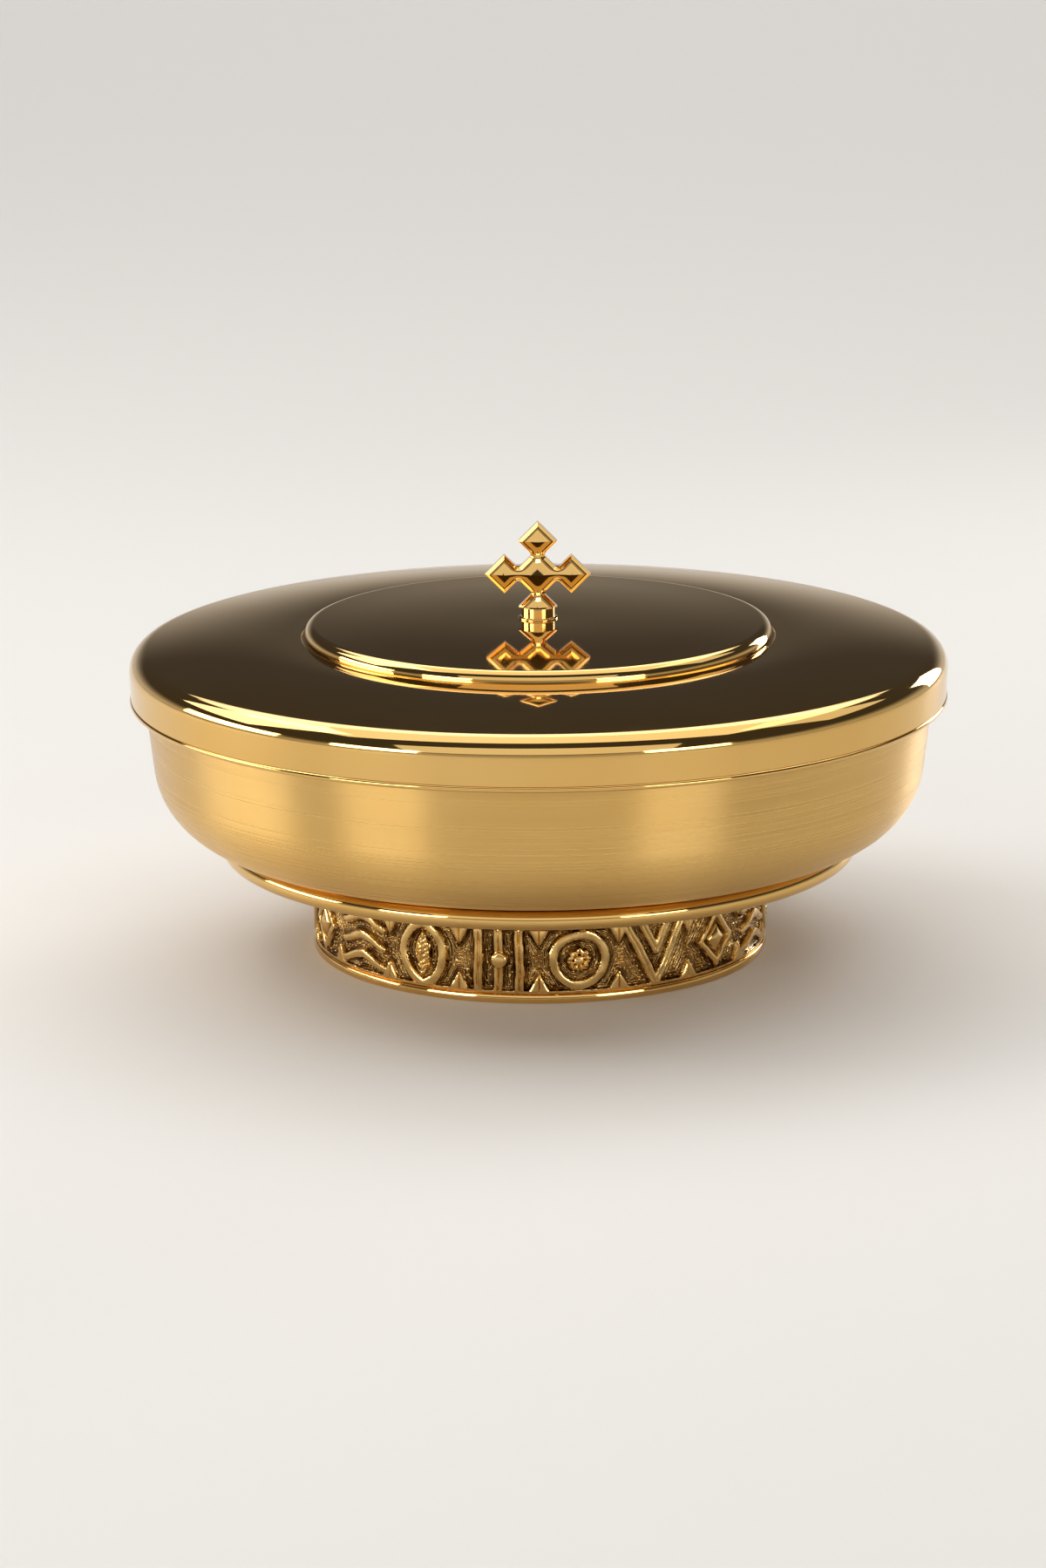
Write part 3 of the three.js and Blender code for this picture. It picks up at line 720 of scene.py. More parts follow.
def waves(u, v):
    """Three running waves, thinner towards their ends."""
    swell, half_length, end = 1.1, 7, 6.6
    distance = np.full_like(u, FAR)
    for level in (-4.3, 0, 4.3):
        crest = level + swell * np.cos(u * math.pi / half_length)
        slope = swell * math.pi / half_length * np.sin(u * math.pi / half_length)
        away = np.abs(v - crest) / np.sqrt(1 + slope ** 2)
        past = np.maximum(np.abs(u) - end, 0)
        half = FLAT_HALF * (1 - 0.25 * np.abs(u) / half_length)
        distance = np.minimum(distance, np.hypot(away, past) - half)
    return distance, np.zeros_like(u)


def almond(u, v):
    """A leaf with a rib and veins within an almond frame, each made of two arcs."""
    frame_inset, frame_radius, leaf_inset, leaf_radius = 2.42, 7.22, 6.6, 8.2
    frame_band = np.abs(np.hypot(np.abs(u) + frame_inset, v) - frame_radius) - FLAT_HALF
    leaf = np.hypot(np.abs(u) + leaf_inset, v) - leaf_radius
    away = np.abs((v * 1.1 - np.abs(u)) % 1.3 - 0.65)
    veins = groove(away, 0.3, 0.3) + 0.25 * falling(np.abs(u), 0.45)
    return np.minimum(frame_band, leaf), np.where(leaf < SIDE_WIDTH, veins, 0.0)


def ribs(u, v):
    """Three grooved bars, with a ball on the middle one."""
    spacing, ball_radius = 4.4, 1.75
    bars = np.minimum(np.abs(np.abs(u) - spacing), np.abs(u))
    ball = np.hypot(u, v) - ball_radius
    mound = 0.35 * bump_up(ball + ball_radius, ball_radius)
    return np.minimum(bars - FLAT_HALF, ball), np.where(ball < 0, mound, groove(bars, 0.35, 0.32))


def spandrel(u, v):
    """Points that grow from both borders between two motifs."""
    start, height, half_width, edge = 3.0, 3.8, 2.1, 4.34
    rise = np.abs(v) - start
    distance = np.maximum((np.abs(u) * height - rise * half_width) / edge, -rise)
    return distance, groove(np.abs(u), 0.35, 0.3)


MOTIFS = (roundel, chevrons, lozenge, waves, almond, ribs)


def frieze_relief(angle, v):
    """Relief height from 0 to about 1.3, and the distance from the flats, at places on the ring."""
    cell_angle = 2 * math.pi / CELLS
    turn = np.floor(angle / cell_angle)
    cell = turn.astype(int) % CELLS
    u = (angle - (turn + 0.5) * cell_angle) * RING_GROUND
    # The lines wander by about 0.15 mm, as if drawn by hand
    du = 0.13 * np.sin(0.45 * v + 9 * angle) + 0.03 * np.sin(1.3 * v - 22 * angle)
    dv = 0.11 * np.sin(0.4 * u + 13 * angle) + 0.03 * np.sin(1.2 * u + 0.5 * v)
    distance = np.zeros_like(u)
    carve = np.zeros_like(u)
    for k, motif in enumerate(MOTIFS):
        here = cell % len(MOTIFS) == k
        distance[here], carve[here] = motif((u + du)[here], (v + dv)[here])
    point, crease = spandrel(np.abs(u) - cell_angle * RING_GROUND / 2, v)
    carve = np.where(point < distance, crease, carve)
    distance = np.minimum(distance, point)
    crest = 1 - CREST_FALL * falling(-distance, CREST_WIDTH)
    return falling(distance, SIDE_WIDTH) * (crest + carve), np.maximum(distance, 0)


def hand_worked(angle, z):
    """Slow unevenness of a hand-finished casting, in millimetres."""
    slow, quick = np.sin(23 * angle + 1.3 * z), np.sin(41 * angle - 0.9 * z + 2.1)
    return HAND_UNEVENNESS * (slow + quick * 0.7)


class CIBORIUM_OT_relief_ring(bpy.types.Operator):
    """Casts the foot ring with its frieze of six motifs, its borders and its inner ledge"""

    bl_idname = "ciborium.relief_ring"
    bl_label = "Relief Ring"

    def execute(self, context):
        rise = settings()[1].relief_height / MM
        low, high = RING_LOW[2], RING_HIGH[2]
        angles = np.linspace(0, 2 * math.pi, FRIEZE_COLUMNS, endpoint=False)
        band = np.linspace(low + RING_BORDER, high - RING_BORDER, FRIEZE_ROWS)
        angle, z = np.meshgrid(angles, band)
        relief, fold = frieze_relief(angle, z - (low + high) / 2)
        near_border = np.minimum(z - low, high - z) - RING_BORDER
        blend = np.clip(near_border / BORDER_COVE, 0, 1)
        cove = RING_GROUND + RING_BORDER_RISE * (1 - blend) ** 2
        field = RING_GROUND + rise * relief + hand_worked(angle, z) * blend
        border = RING_GROUND + RING_BORDER_RISE
        below = np.array([
            (RING_INNER, low),
            (border - BORDER_EASE, low),
            (border, low + BORDER_EASE),
            (border, low + BORDER_SIDE),
        ])
        above = np.array([
            (border, high - BORDER_SIDE),
            (border, high - BORDER_EASE),
            (border - BORDER_EASE, high),
            (LEDGE_RADIUS, high),
            (LEDGE_RADIUS, high - LEDGE_THICKNESS),
            (RING_INNER, high - LEDGE_THICKNESS),
        ])
        plain = np.ones(FRIEZE_COLUMNS)
        field = np.maximum(field, cove)
        radius = np.concatenate([below[:, :1] * plain, field, above[:, :1] * plain])
        level = np.concatenate([below[:, 1], band, above[:, 1]])[:, None] * plain
        points = np.stack([radius * np.sin(angles), -radius * np.cos(angles), level], axis=-1)
        faces = [face[::-1] for face in turned_faces(len(radius), FRIEZE_COLUMNS)]
        piece = mesh_object("relief_ring_cast", points.reshape(-1, 3), faces)
        margins = ((len(below), len(above)), (0, 0))
        store(piece.data, "relief", np.clip(np.pad(relief, margins, constant_values=1), 0, 1))
        store(piece.data, "fold", np.pad(np.minimum(fold, near_border), margins))
        finish_piece(piece, BODY_VESSEL, SLOT_CAST, "relief_ring")
        return {"FINISHED"}


def store(mesh, name, values):
    """Keeps one number for each point of a mesh as an attribute."""
    attribute = mesh.attributes.new(name, "FLOAT", "POINT")
    attribute.data.foreach_set("value", np.asarray(values, np.float32).reshape(-1))


GRAIN_PITCH = 1.3
GRAIN_STAGGER = 0.87
GRAIN_JITTER = 0.2
GRAIN_CLEARANCE = 0.62
GRAIN_MARGINS = (0.7, 0.6)
GRAIN_SEED = 11
# Grains count as this share of raised relief, so they take little of the painted hollow shade.
GRAIN_RELIEF = 0.6


def grain_places():
    """Points on the frieze's bare ground for the grains, in staggered and slightly uneven rows."""
    low, high = RING_LOW[2], RING_HIGH[2]
    random = np.random.default_rng(GRAIN_SEED)
    count = int(2 * math.pi * RING_GROUND / GRAIN_PITCH)
    first, last = low + RING_BORDER + GRAIN_MARGINS[0], high - RING_BORDER - GRAIN_MARGINS[1]
    levels = np.arange(first, last, GRAIN_PITCH * GRAIN_STAGGER)
    angle, z = np.meshgrid(np.arange(count) * 2 * math.pi / count, levels)
    angle = angle + (np.arange(len(levels)) % 2)[:, None] * math.pi / count
    jitter = (-GRAIN_JITTER, GRAIN_JITTER, angle.shape)
    angle = angle + random.uniform(*jitter) * GRAIN_PITCH / RING_GROUND
    z = z + random.uniform(*jitter) * GRAIN_PITCH
    angle = angle % (2 * math.pi)
    v = z - (low + high) / 2
    fold = frieze_relief(angle, v)[1]
    free = (fold > GRAIN_CLEARANCE) & (FIELD_HALF - np.abs(v) > GRAIN_MARGINS[1])
    angle, z = angle[free], z[free]
    return np.stack([RING_GROUND * np.sin(angle), -RING_GROUND * np.cos(angle), z], axis=-1)


def grain_tree(material):
    """Geometry nodes that set a small ball of varied size on every point."""
    tree = bpy.data.node_groups.new("frieze_grains", "GeometryNodeTree")
    face = tree.interface
    face.new_socket("Geometry", in_out="INPUT", socket_type="NodeSocketGeometry")
    face.new_socket("Geometry", in_out="OUTPUT", socket_type="NodeSocketGeometry")
    radius = face.new_socket("Grain Radius", in_out="INPUT", socket_type="NodeSocketFloat")
    seed = face.new_socket("Seed", in_out="INPUT", socket_type="NodeSocketInt")
    start = add(tree, "NodeGroupInput")
    ball = add(tree, "GeometryNodeMeshIcoSphere",
               inputs={"Radius": start.outputs["Grain Radius"], "Subdivisions": 2})
    size = add(tree, "FunctionNodeRandomValue", {"data_type": "FLOAT"},
               {2: 0.75, 3: 1.2, "Seed": start.outputs["Seed"]}).outputs[1]
    balls = add(tree, "GeometryNodeInstanceOnPoints",
                inputs={"Points": start, "Instance": ball, "Scale": size})
    real = add(tree, "GeometryNodeRealizeInstances", inputs={"Geometry": balls})
    smooth = add(tree, "GeometryNodeSetShadeSmooth", inputs={"Geometry": real})
    clad = add(tree, "GeometryNodeSetMaterial", inputs={"Geometry": smooth, "Material": material})
    add(tree, "NodeGroupOutput", inputs={0: clad})
    return tree, radius.identifier, seed.identifier


class CIBORIUM_OT_grains(bpy.types.Operator):
    """Sets cast grains on the bare ground between the motifs of the frieze"""

    bl_idname = "ciborium.grains"
    bl_label = "Frieze Grains"

    def execute(self, context):
        places = mesh_object("grain_places", grain_places(), [])
        tree, radius, seed = grain_tree(material_of(SLOT_CAST))
        modifier = places.modifiers.new("grains", "NODES")
        modifier.node_group = tree
        modifier[radius] = settings()[1].grain_radius
        modifier[seed] = GRAIN_SEED
        evaluated = places.evaluated_get(context.evaluated_depsgraph_get())
        mesh = bpy.data.meshes.new_from_object(evaluated)
        places.modifiers.remove(modifier)
        bpy.data.objects.remove(places)
        piece = bpy.data.objects.new("frieze_grains", mesh)
        context.scene.collection.objects.link(piece)
        store(mesh, "relief", np.full(len(mesh.vertices), GRAIN_RELIEF))
        store(mesh, "fold", np.zeros(len(mesh.vertices)))
        finish_piece(piece, BODY_VESSEL, SLOT_CAST)
        return {"FINISHED"}


# The cross: a heart lozenge and four arms, in millimetres. Its half thickness follows the depth
# within its outline, so that the facets of heart and arms flow together through the necks.

LOZENGE_HALF = 4.25
HEART_HALF = 5.45
NECK_FILLET = 0.85
CROSS_CHAMFER = 0.07
CROSS_CHAMFER_DROP = 0.15
CROSS_EDGE = 1.0
CROSS_CREST = 1.65
CROSS_GROOVE = 1.45
CROSS_GROOVE_WIDTH = 0.2
CROSS_PEAK = 2.7
CROSS_HOLLOW = 1.3
CROSS_ROWS = 10
HEART_STEPS = 9
FILLET_STEPS = 17
SHORTEST_STEP = 0.05
FACET_ANGLE = math.radians(18)
ROOT_HALF = math.sqrt(0.5)


def half_thickness(depth, levels):
    """Half thickness at a depth within the outline: chamfer, bevel, groove and hollow field."""
    rise = np.clip((depth - levels[-1]) / (HEART_HALF * ROOT_HALF - levels[-1]), 0, 1)
    field = CROSS_GROOVE + (CROSS_PEAK - CROSS_GROOVE) * rise ** CROSS_HOLLOW
    heights = [CROSS_EDGE - CROSS_CHAMFER_DROP, CROSS_EDGE, CROSS_CREST, CROSS_GROOVE]
    border = np.interp(depth, levels, heights)
    return np.where(depth < levels[-1], border, field)


def outline_rays(reach, levels):
    """Half an arm's outline from heart to tip: starts, inward directions and runs to the ridge."""
    notch = (HEART_HALF - LOZENGE_HALF + reach) / 2
    waist = (HEART_HALF + LOZENGE_HALF - reach) / 2
    tangent = NECK_FILLET * ROOT_HALF
    centre = waist + 2 * tangent
    rays = []
    for a in np.linspace(HEART_HALF / 2, notch - tangent, HEART_STEPS):
        rays.append((a, HEART_HALF - a, -ROOT_HALF, -ROOT_HALF, (HEART_HALF - a) / ROOT_HALF))
    for turn in np.radians(np.linspace(-45, 45, FILLET_STEPS)[1:-1]):
        sin, cos = math.sin(turn), math.cos(turn)
        start = (notch + NECK_FILLET * sin, centre - NECK_FILLET * cos)
        rays.append((*start, sin, -cos, centre / cos - NECK_FILLET))
    near = [level * ROOT_HALF for level in levels]
    half = near[:-1] + list(np.linspace(near[-1], LOZENGE_HALF / 2, CROSS_ROWS))
    side = half + [LOZENGE_HALF - s for s in half[-2::-1]]
    last = reach - notch - tangent
    inner_side = [last] + [s for s in reversed(side) if s < last - SHORTEST_STEP]
    corner = len(rays) + len(inner_side)
    for way, steps in ((-1, inner_side), (1, side[1:])):
        for s in steps:
            run = min(s, LOZENGE_HALF - s) / ROOT_HALF
            rays.append((reach + way * s, LOZENGE_HALF - s, -way * ROOT_HALF, -ROOT_HALF, run))
    return rays, corner


def cross_face(reach, border):
    """Points and triangles of one face of the cross, with its lower arm cut at half."""
    levels = [0, CROSS_CHAMFER, border, border + CROSS_GROOVE_WIDTH]
    rays, corner = outline_rays(reach, levels)
    along, off, step_along, step_off, run = (np.array(part)[:, None] for part in zip(*rays))
    field = np.maximum(run - levels[-1], 0) * np.arange(1, CROSS_ROWS + 1) / CROSS_ROWS
    depth = np.concatenate([np.tile(levels, (len(rays), 1)), levels[-1] + field], axis=1)
    depth = np.minimum(depth, run)
    along, off = along + step_along * depth, off + step_off * depth
    thick = half_thickness(depth, levels)
    rows = depth.shape[1]
    points, triangles = [], []
    for upright in (False, True):
        for way, hand in ((1, 1), (1, -1), (-1, 1), (-1, -1)):
            columns = corner if upright and way < 0 else len(rays)
            pair = (hand * off, way * along) if upright else (way * along, hand * off)
            shift = sum(len(p) for p in points)
            points.append(np.stack([*pair, thick], axis=-1)[:columns].reshape(-1, 3))
            for i in range(columns - 1):
                for k in range(rows - 1):
                    a, b = shift + i * rows + k, shift + (i + 1) * rows + k
                    triangles += [(a, b, b + 1), (a, b + 1, a + 1)]
    points = np.concatenate(points)
    first, index = np.unique(np.round(points, 5) + 0.0, axis=0, return_index=True,
                             return_inverse=True)[1:]
    triangles = index.reshape(-1)[np.array(triangles)]
    a, b, c = triangles.T
    triangles = triangles[(a != b) & (b != c) & (c != a)]
    points = points[first]
    a, b, c = (points[triangles[:, k], :2] for k in range(3))
    turn = (b - a)[:, 0] * (c - a)[:, 1] - (b - a)[:, 1] * (c - a)[:, 0]
    triangles[turn < 0] = triangles[turn < 0][:, ::-1]
    return points, triangles


class CIBORIUM_OT_cross(bpy.types.Operator):
    """Cuts the cross: faceted lozenges within a bevelled border, on both faces"""

    bl_idname = "ciborium.cross"
    bl_label = "Cross"

    def execute(self, context):
        reach = CROSS_HIGH[0] - LOZENGE_HALF
        points, triangles = cross_face(reach, settings()[1].cross_border / MM)
        x, up, thick = points.T
        front = np.stack([x, -thick, up + CROSS_LOW[2] + reach], axis=-1)
        back = front * [1, -1, 1]
        edges = {(int(t[i]), int(t[i - 2])) for t in triangles for i in range(3)}
        walls = [(a, b) for a, b in edges if (b, a) not in edges]
        shift = len(front)
        faces = [t.tolist() for t in triangles] + [(t[::-1] + shift).tolist() for t in triangles]
        faces += [[b, a, a + shift, b + shift] for a, b in walls]
        piece = mesh_object("cross_cut", np.concatenate([front, back]), faces, FACET_ANGLE)
        finish_piece(outward(piece), BODY_LID, SLOT_POLISHED, "finial_cross")
        return {"FINISHED"}


# The collar and the fasteners, in millimetres. A thread's form is given in shares of its pitch.

FLANGE_WIDTH = 0.65
FLANGE_HEIGHT = 0.35
FLANGE_FALL = 0.45
SMALL_GAP = 0.08
WASHER_EASE = 0.12
FINIAL_THREAD_DEPTH = 0.15
FINIAL_PITCH = 0.6
FOOT_THREAD_GAP = 0.1
FOOT_PITCH = 1.0
STEPS_PER_TURN = 12
THREAD_DEPTH = 0.55
THREAD_FLANK = 1.5
THREAD_FLAT = 0.25
PLAIN_END_DEPTH = 0.3
ROD_TIP = 0.8
THREAD_START = 0.3
THREAD_FADE = 0.8
BOSS_BORE = 0.5
NUT_SIDE_STEPS = 12
NUT_FACE = 0.98
NUT_LIP = 0.35
NUT_CHAMFER = math.tan(math.radians(30))
NUT_ANGLE = math.radians(20)


class CIBORIUM_OT_collar(bpy.types.Operator):
    """Turns the collar under the cross, a plain drum with a thin foot flange"""

    bl_idname = "ciborium.collar"
    bl_label = "Collar"

    def execute(self, context):
        low, high = COLLAR_LOW[2], COLLAR_HIGH[2]
        flange = COLLAR_HIGH[0]
        drum = flange - FLANGE_WIDTH
        outline = supported(rounded([
            (STUD_HOLE, low),
            (flange, low, 0.08),
            (flange, low + FLANGE_HEIGHT, 0.16),
            (drum, low + FLANGE_FALL, 0.12),
            (drum, high, 0.15),
            (STUD_HOLE, high),
        ]), SMALL_GAP)
        piece = turned("collar_turned", outline, SMALL_SEGMENTS)
        finish_piece(piece, BODY_LID, SLOT_POLISHED, "finial_collar")
        return {"FINISHED"}


def washer(name, bore, radius, low, high):
    """A turned washer with eased edges."""
    outline = supported(rounded([
        (bore, low, WASHER_EASE),
        (radius, low, WASHER_EASE),
        (radius, high, WASHER_EASE),
        (bore, high, WASHER_EASE),
        (bore, low),
    ])[:-1], RIM_GAP)
    return turned(name, outline, SMALL_SEGMENTS)


def threaded_rod(name, radius, low, high, pitch):
    """A threaded stud: its radius follows a helix of the given pitch, with plain chamfered ends."""
    levels = np.arange(low + THREAD_START, high - THREAD_START, pitch / STEPS_PER_TURN)
    angles = np.linspace(0, 2 * math.pi, SMALL_SEGMENTS, endpoint=False)
    angle, z = np.meshgrid(angles, levels)
    phase = (z / pitch - angle / (2 * math.pi)) % 1
    form = np.clip(THREAD_FLANK * np.abs(2 * phase - 1) - THREAD_FLAT, 0, 1)
    depth = THREAD_DEPTH * pitch * form
    fade = np.clip(np.minimum(z - low, high - z) / THREAD_FADE, 0, 1)
    r = radius - depth * fade - (1 - fade) * PLAIN_END_DEPTH * pitch
    axis, tip = (np.full((1, SMALL_SEGMENTS), v) for v in (0.0, radius * ROD_TIP))
    r = np.concatenate([axis, tip, r, tip, axis])
    level = np.concatenate([[low, low], levels, [high, high]])[:, None] + 0 * angles
    points = np.stack([r * np.cos(angles), r * np.sin(angles), level], axis=-1)
    faces = turned_faces(len(r), SMALL_SEGMENTS, True, True, False)
    return outward(clean(mesh_object(name, points.reshape(-1, 3), faces)))


def hex_nut(name, bore, inner, low, high):
    """A hexagon nut, its corners turned off, from half its width across flats."""
    count = 6 * NUT_SIDE_STEPS
    angles = np.arange(count) * 2 * math.pi / count
    hexagon = inner / np.cos((angles + math.pi / 6) % (math.pi / 3) - math.pi / 6)
    chamfer = (hexagon - inner * NUT_FACE) * NUT_CHAMFER
    mouth, face = bore + NUT_LIP, inner * NUT_FACE
    radii = (bore, mouth, face, hexagon, hexagon, face, mouth, bore)
    levels = (low + NUT_LIP, low, low, low + chamfer, high - chamfer, high, high, high - NUT_LIP)
    points = [np.stack([r * np.cos(angles), r * np.sin(angles), z + 0 * angles], -1)
              for r, z in zip(radii, levels)]
    faces = turned_faces(len(radii), count)
    return outward(mesh_object(name, np.concatenate(points), faces, NUT_ANGLE))


def fasten(body, bore, *pieces):
    """Makes washers and nuts in the places of their CAD nodes. A nut's flats face along Y."""
    for make, name, node in pieces:
        low, high = node_box(node)
        half = high[1] if make is hex_nut else high[0]
        finish_piece(make(name, bore, half, low[2], high[2]), body, SLOT_BRASS, node)


class CIBORIUM_OT_lid_fasteners(bpy.types.Operator):
    """Makes the stud, washer and nut that hold the cross to the lid from inside"""

    bl_idname = "ciborium.lid_fasteners"
    bl_label = "Lid Fasteners"

    def execute(self, context):
        fasten(BODY_LID, STUD_HOLE,
               (washer, "finial_washer_turned", "finial_washer"),
               (hex_nut, "finial_nut_chamfered", "finial_nut"))
        low, high = node_box("finial_stud")
        radius = high[0] + FINIAL_THREAD_DEPTH
        piece = threaded_rod("finial_stud_threaded", radius, low[2], high[2], FINIAL_PITCH)
        finish_piece(piece, BODY_LID, SLOT_BRASS, "finial_stud")
        return {"FINISHED"}


class CIBORIUM_OT_foot_fasteners(bpy.types.Operator):
    """Makes the clamp plate, washer, nut and stud in the hollow of the foot"""

    bl_idname = "ciborium.foot_fasteners"
    bl_label = "Foot Fasteners"

    def execute(self, context):
        fasten(BODY_VESSEL, FOOT_STUD_HOLE,
               (washer, "clamp_plate_turned", "clamp_plate"),
               (washer, "foot_washer_turned", "foot_washer"),
               (hex_nut, "foot_nut_chamfered", "foot_nut"))
        low, high = node_box("bowl_stud")
        radius = FOOT_STUD_HOLE - FOOT_THREAD_GAP
        seat = SAUCER_LOW[2] + SHEET
        rod = threaded_rod("bowl_stud_threaded", radius, low[2], seat, FOOT_PITCH)
        boss = washer("bowl_boss_turned", BOSS_BORE, high[0], seat, high[2])
        for piece in (rod, boss):
            finish_piece(piece, BODY_VESSEL, SLOT_BRASS, "bowl_stud")
        return {"FINISHED"}


# The stage: floor, world, lamps and camera. The camera's place is in millimetres and its turn in
# radians, and the floor and the lamps are in metres.

CAMERA_PLACE = (5.1, -1065.5, 305.3)
CAMERA_PITCH = 0.2477
CAMERA_YAW = -0.00814
CAMERA_ROLL = 0.00685
FOCAL_PIXELS = 5687.7
IMAGE_HEIGHT = 1799
SENSOR = 36.0
FAR_CLIP = 50
FLOOR_RADIUS = 6.0
FLOOR_SEGMENTS = 128
FLOOR_COLOUR = "#dedbd6"
HORIZON_COLOUR = "#cfcdc9"
SKY_COLOUR = "#45423f"
HORIZON_BAND = (-0.02, 0.26)

# Lamps: azimuth from the camera's side in degrees, distance, height, size of the panel, power in
# watts, beam angle in degrees, and the point that the panel faces
ALL_ROUND = 180
LAMPS = (
    ("left_strip", -92, 1.1, 0.24, (0.75, 0.24), 0.85, 80),
    ("front_left_strip", -44, 1.25, 0.24, (0.55, 0.24), 0.65, 80),
    ("front_right_strip", 40, 1.3, 0.24, (0.55, 0.24), 0.5, 80),
    ("rear_right_strip", 140, 0.95, 0.24, (0.24, 0.36), 0.5, 80),
    ("high_left_softbox", -108, 0.85, 0.87, (0.7, 0.7), 4.6),
    ("high_right_softbox", 108, 0.85, 0.87, (0.6, 0.6), 1.1),
    ("wide_front_softbox", 0, 1.5, 0.85, (2.4, 1.0), 7.2),
    ("overhead_softbox", 180, 1.6, 3.2, (5.0, 5.0), 108.0, ALL_ROUND, (0, 1.6, 0)),
    ("far_overhead_softbox", 180, 4.6, 4.2, (6.0, 4.0), 120.0, ALL_ROUND, (0, 4.6, 0)),
)


def camera_matrix():
    """The camera's place and turn, from its pitch, yaw and roll."""
    cos, sin = math.cos(CAMERA_PITCH), math.sin(CAMERA_PITCH)
    ahead = Vector((math.sin(CAMERA_YAW) * cos, math.cos(CAMERA_YAW) * cos, -sin))
    right = Vector((math.cos(CAMERA_YAW), -math.sin(CAMERA_YAW), 0))
    up = right.cross(ahead)
    cos, sin = math.cos(CAMERA_ROLL), math.sin(CAMERA_ROLL)
    turn = Matrix((right * cos - up * sin, right * sin + up * cos, -ahead)).transposed()
    return Matrix.Translation(Vector(CAMERA_PLACE) * MM) @ turn.to_4x4()


def softbox(name, azimuth, distance, height, size, power, beam=ALL_ROUND, aim=(0, 0, 0.09)):
    """A rectangular lamp, whose panel the camera doesn't see."""
    lamp = bpy.data.lights.new(name, "AREA")
    lamp.shape = "RECTANGLE"
    lamp.size, lamp.size_y = size
    lamp.energy = power
    lamp.spread = math.radians(beam)
    panel = bpy.data.objects.new(name, lamp)
    turn = math.radians(azimuth)
    panel.location = (distance * math.sin(turn), -distance * math.cos(turn), height)
    panel.rotation_euler = (Vector(aim) - panel.location).to_track_quat("-Z", "Y").to_euler()
    panel.visible_camera = False
    bpy.context.scene.collection.objects.link(panel)


def lay_floor():
    """A pale matt disc to stand on."""
    angles = np.linspace(0, 2 * math.pi, FLOOR_SEGMENTS, endpoint=False)
    rim = np.stack([np.cos(angles), np.sin(angles), 0 * angles], -1) * FLOOR_RADIUS / MM
    floor = mesh_object("floor", rim, [list(range(FLOOR_SEGMENTS))])
    material, tree = new_material("pale_floor")
    shader = add(tree, "ShaderNodeBsdfPrincipled", inputs={
        "Base Color": linear(FLOOR_COLOUR), "Roughness": 0.6, "Specular IOR Level": 0.2})
    add(tree, "ShaderNodeOutputMaterial", inputs={"Surface": shader})
    floor.data.materials.append(material)


def studio_world():
    """A world that is pale at the horizon and dark overhead, as a room behind soft lamps."""
    world = bpy.data.worlds.new("studio")
    world.use_nodes = True
    tree = world.node_tree
    tree.nodes.clear()
    direction = add(tree, "ShaderNodeTexCoord").outputs["Generated"]
    height = add(tree, "ShaderNodeSeparateXYZ", inputs={0: direction}).outputs[2]
    rise = add(tree, "ShaderNodeMapRange", {"interpolation_type": "SMOOTHSTEP"},
               between(height, 0.0, 1.0, *HORIZON_BAND))
    colours = add(tree, "ShaderNodeMix", {"data_type": "RGBA"},
                  blend_of(rise, HORIZON_COLOUR, SKY_COLOUR)).outputs[2]
    shade = add(tree, "ShaderNodeBackground", inputs={"Color": colours, "Strength": 1.0})
    add(tree, "ShaderNodeOutputWorld", inputs={"Surface": shade})
    return world


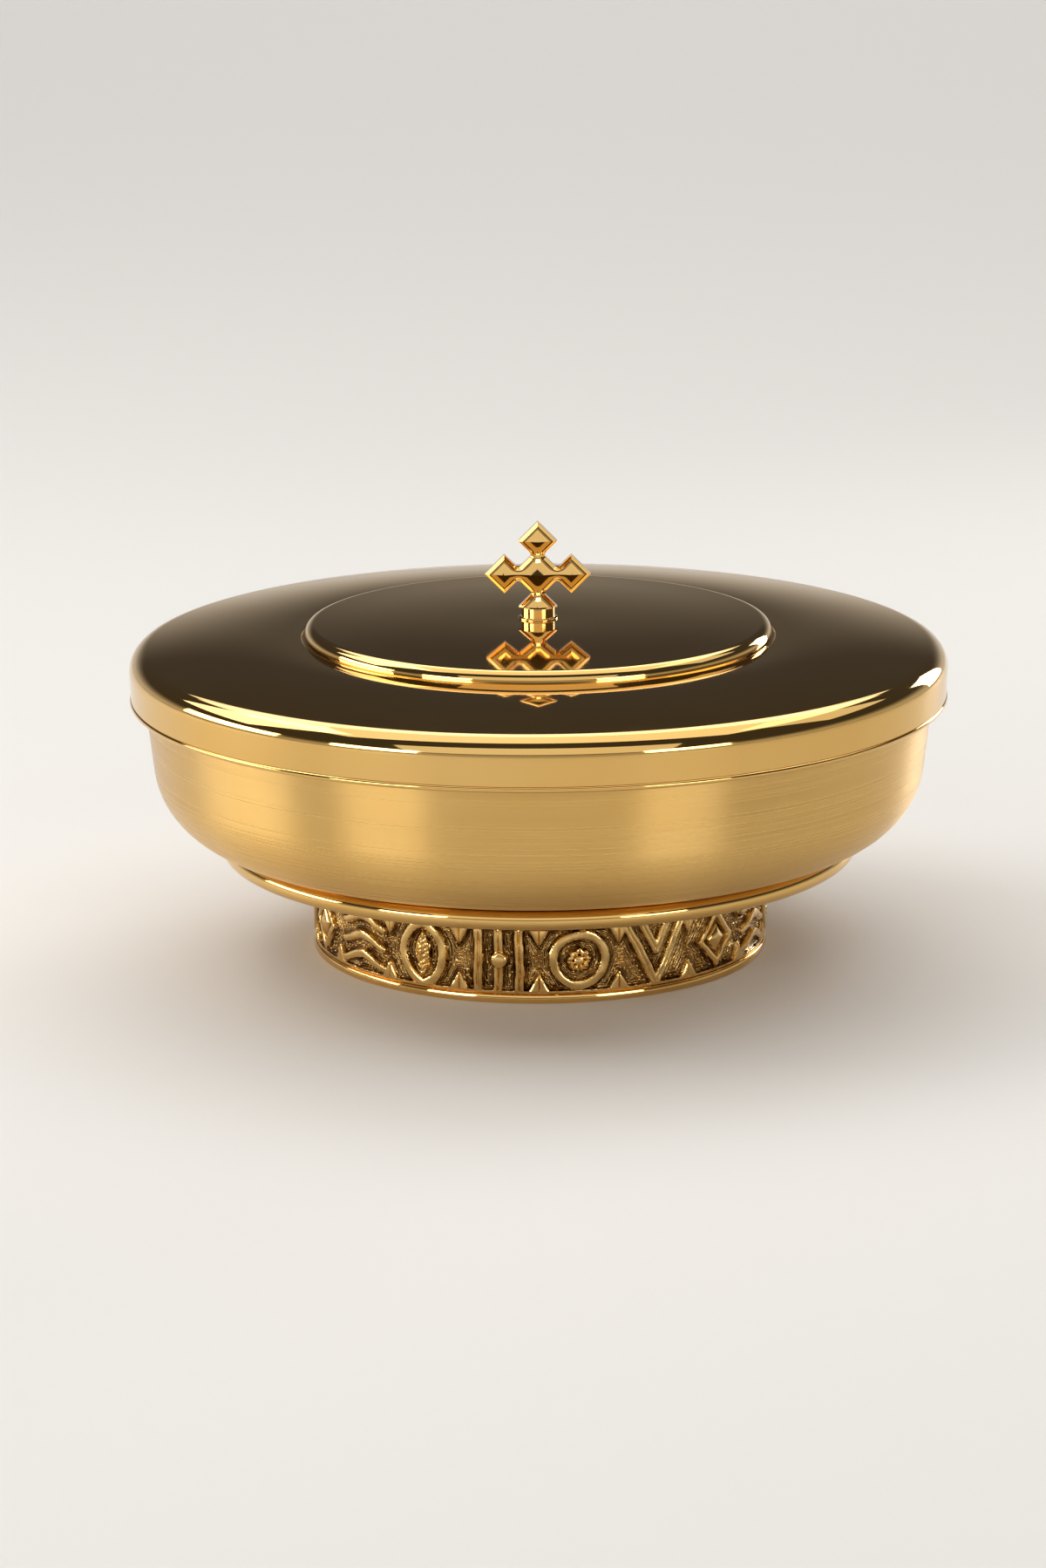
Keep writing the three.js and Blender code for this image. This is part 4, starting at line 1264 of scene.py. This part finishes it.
class CIBORIUM_OT_stage(bpy.types.Operator):
    """Sets the pale floor, the soft lamps, the world and the camera"""

    bl_idname = "ciborium.stage"
    bl_label = "Stage"

    def execute(self, context):
        scene = context.scene
        scene.view_settings.view_transform = "Standard"
        lay_floor()
        scene.world = studio_world()
        for lamp in LAMPS:
            softbox(*lamp)
        camera = bpy.data.cameras.new("camera")
        camera.sensor_width = SENSOR
        camera.lens = FOCAL_PIXELS / IMAGE_HEIGHT * SENSOR
        camera.clip_end = FAR_CLIP
        eye = bpy.data.objects.new("camera", camera)
        eye.matrix_world = camera_matrix()
        scene.collection.objects.link(eye)
        scene.camera = eye
        return {"FINISHED"}


class CIBORIUM_PT_panel(bpy.types.Panel):
    """Lists the vessel's settings and pieces"""

    bl_label = "Bowl Ciborium"
    bl_idname = "CIBORIUM_PT_panel"
    bl_space_type = "VIEW_3D"
    bl_region_type = "UI"
    bl_category = "Ciborium"

    def draw(self, context):
        for group in (context.scene.ciborium_look, context.scene.ciborium_form):
            box = self.layout.box()
            for name in group.bl_rna.properties.keys():
                if name not in ("rna_type", "name"):
                    box.prop(group, name)
        for operator in OPERATORS:
            self.layout.operator(operator.bl_idname)


OPERATORS = (
    CIBORIUM_OT_lid,
    CIBORIUM_OT_bowl,
    CIBORIUM_OT_saucer,
    CIBORIUM_OT_foot_rim,
    CIBORIUM_OT_relief_ring,
    CIBORIUM_OT_grains,
    CIBORIUM_OT_cross,
    CIBORIUM_OT_collar,
    CIBORIUM_OT_lid_fasteners,
    CIBORIUM_OT_foot_fasteners,
    CIBORIUM_OT_stage,
)
CLASSES = (CiboriumLook, CiboriumForm) + OPERATORS + (CIBORIUM_PT_panel,)


def register():
    """Registers the classes and their settings."""
    for cls in CLASSES:
        bpy.utils.register_class(cls)
    bpy.types.Scene.ciborium_look = bpy.props.PointerProperty(type=CiboriumLook)
    bpy.types.Scene.ciborium_form = bpy.props.PointerProperty(type=CiboriumForm)


def unregister():
    """Removes the settings and the classes."""
    del bpy.types.Scene.ciborium_look
    del bpy.types.Scene.ciborium_form
    for cls in reversed(CLASSES):
        bpy.utils.unregister_class(cls)


def main():
    """Builds the whole vessel and its stage."""
    register()
    bpy.ops.ciborium.lid()
    bpy.ops.ciborium.bowl()
    bpy.ops.ciborium.saucer()
    bpy.ops.ciborium.foot_rim()
    bpy.ops.ciborium.relief_ring()
    bpy.ops.ciborium.grains()
    bpy.ops.ciborium.cross()
    bpy.ops.ciborium.collar()
    bpy.ops.ciborium.lid_fasteners()
    bpy.ops.ciborium.foot_fasteners()
    bpy.ops.ciborium.stage()


if __name__ == "__main__":
    main()
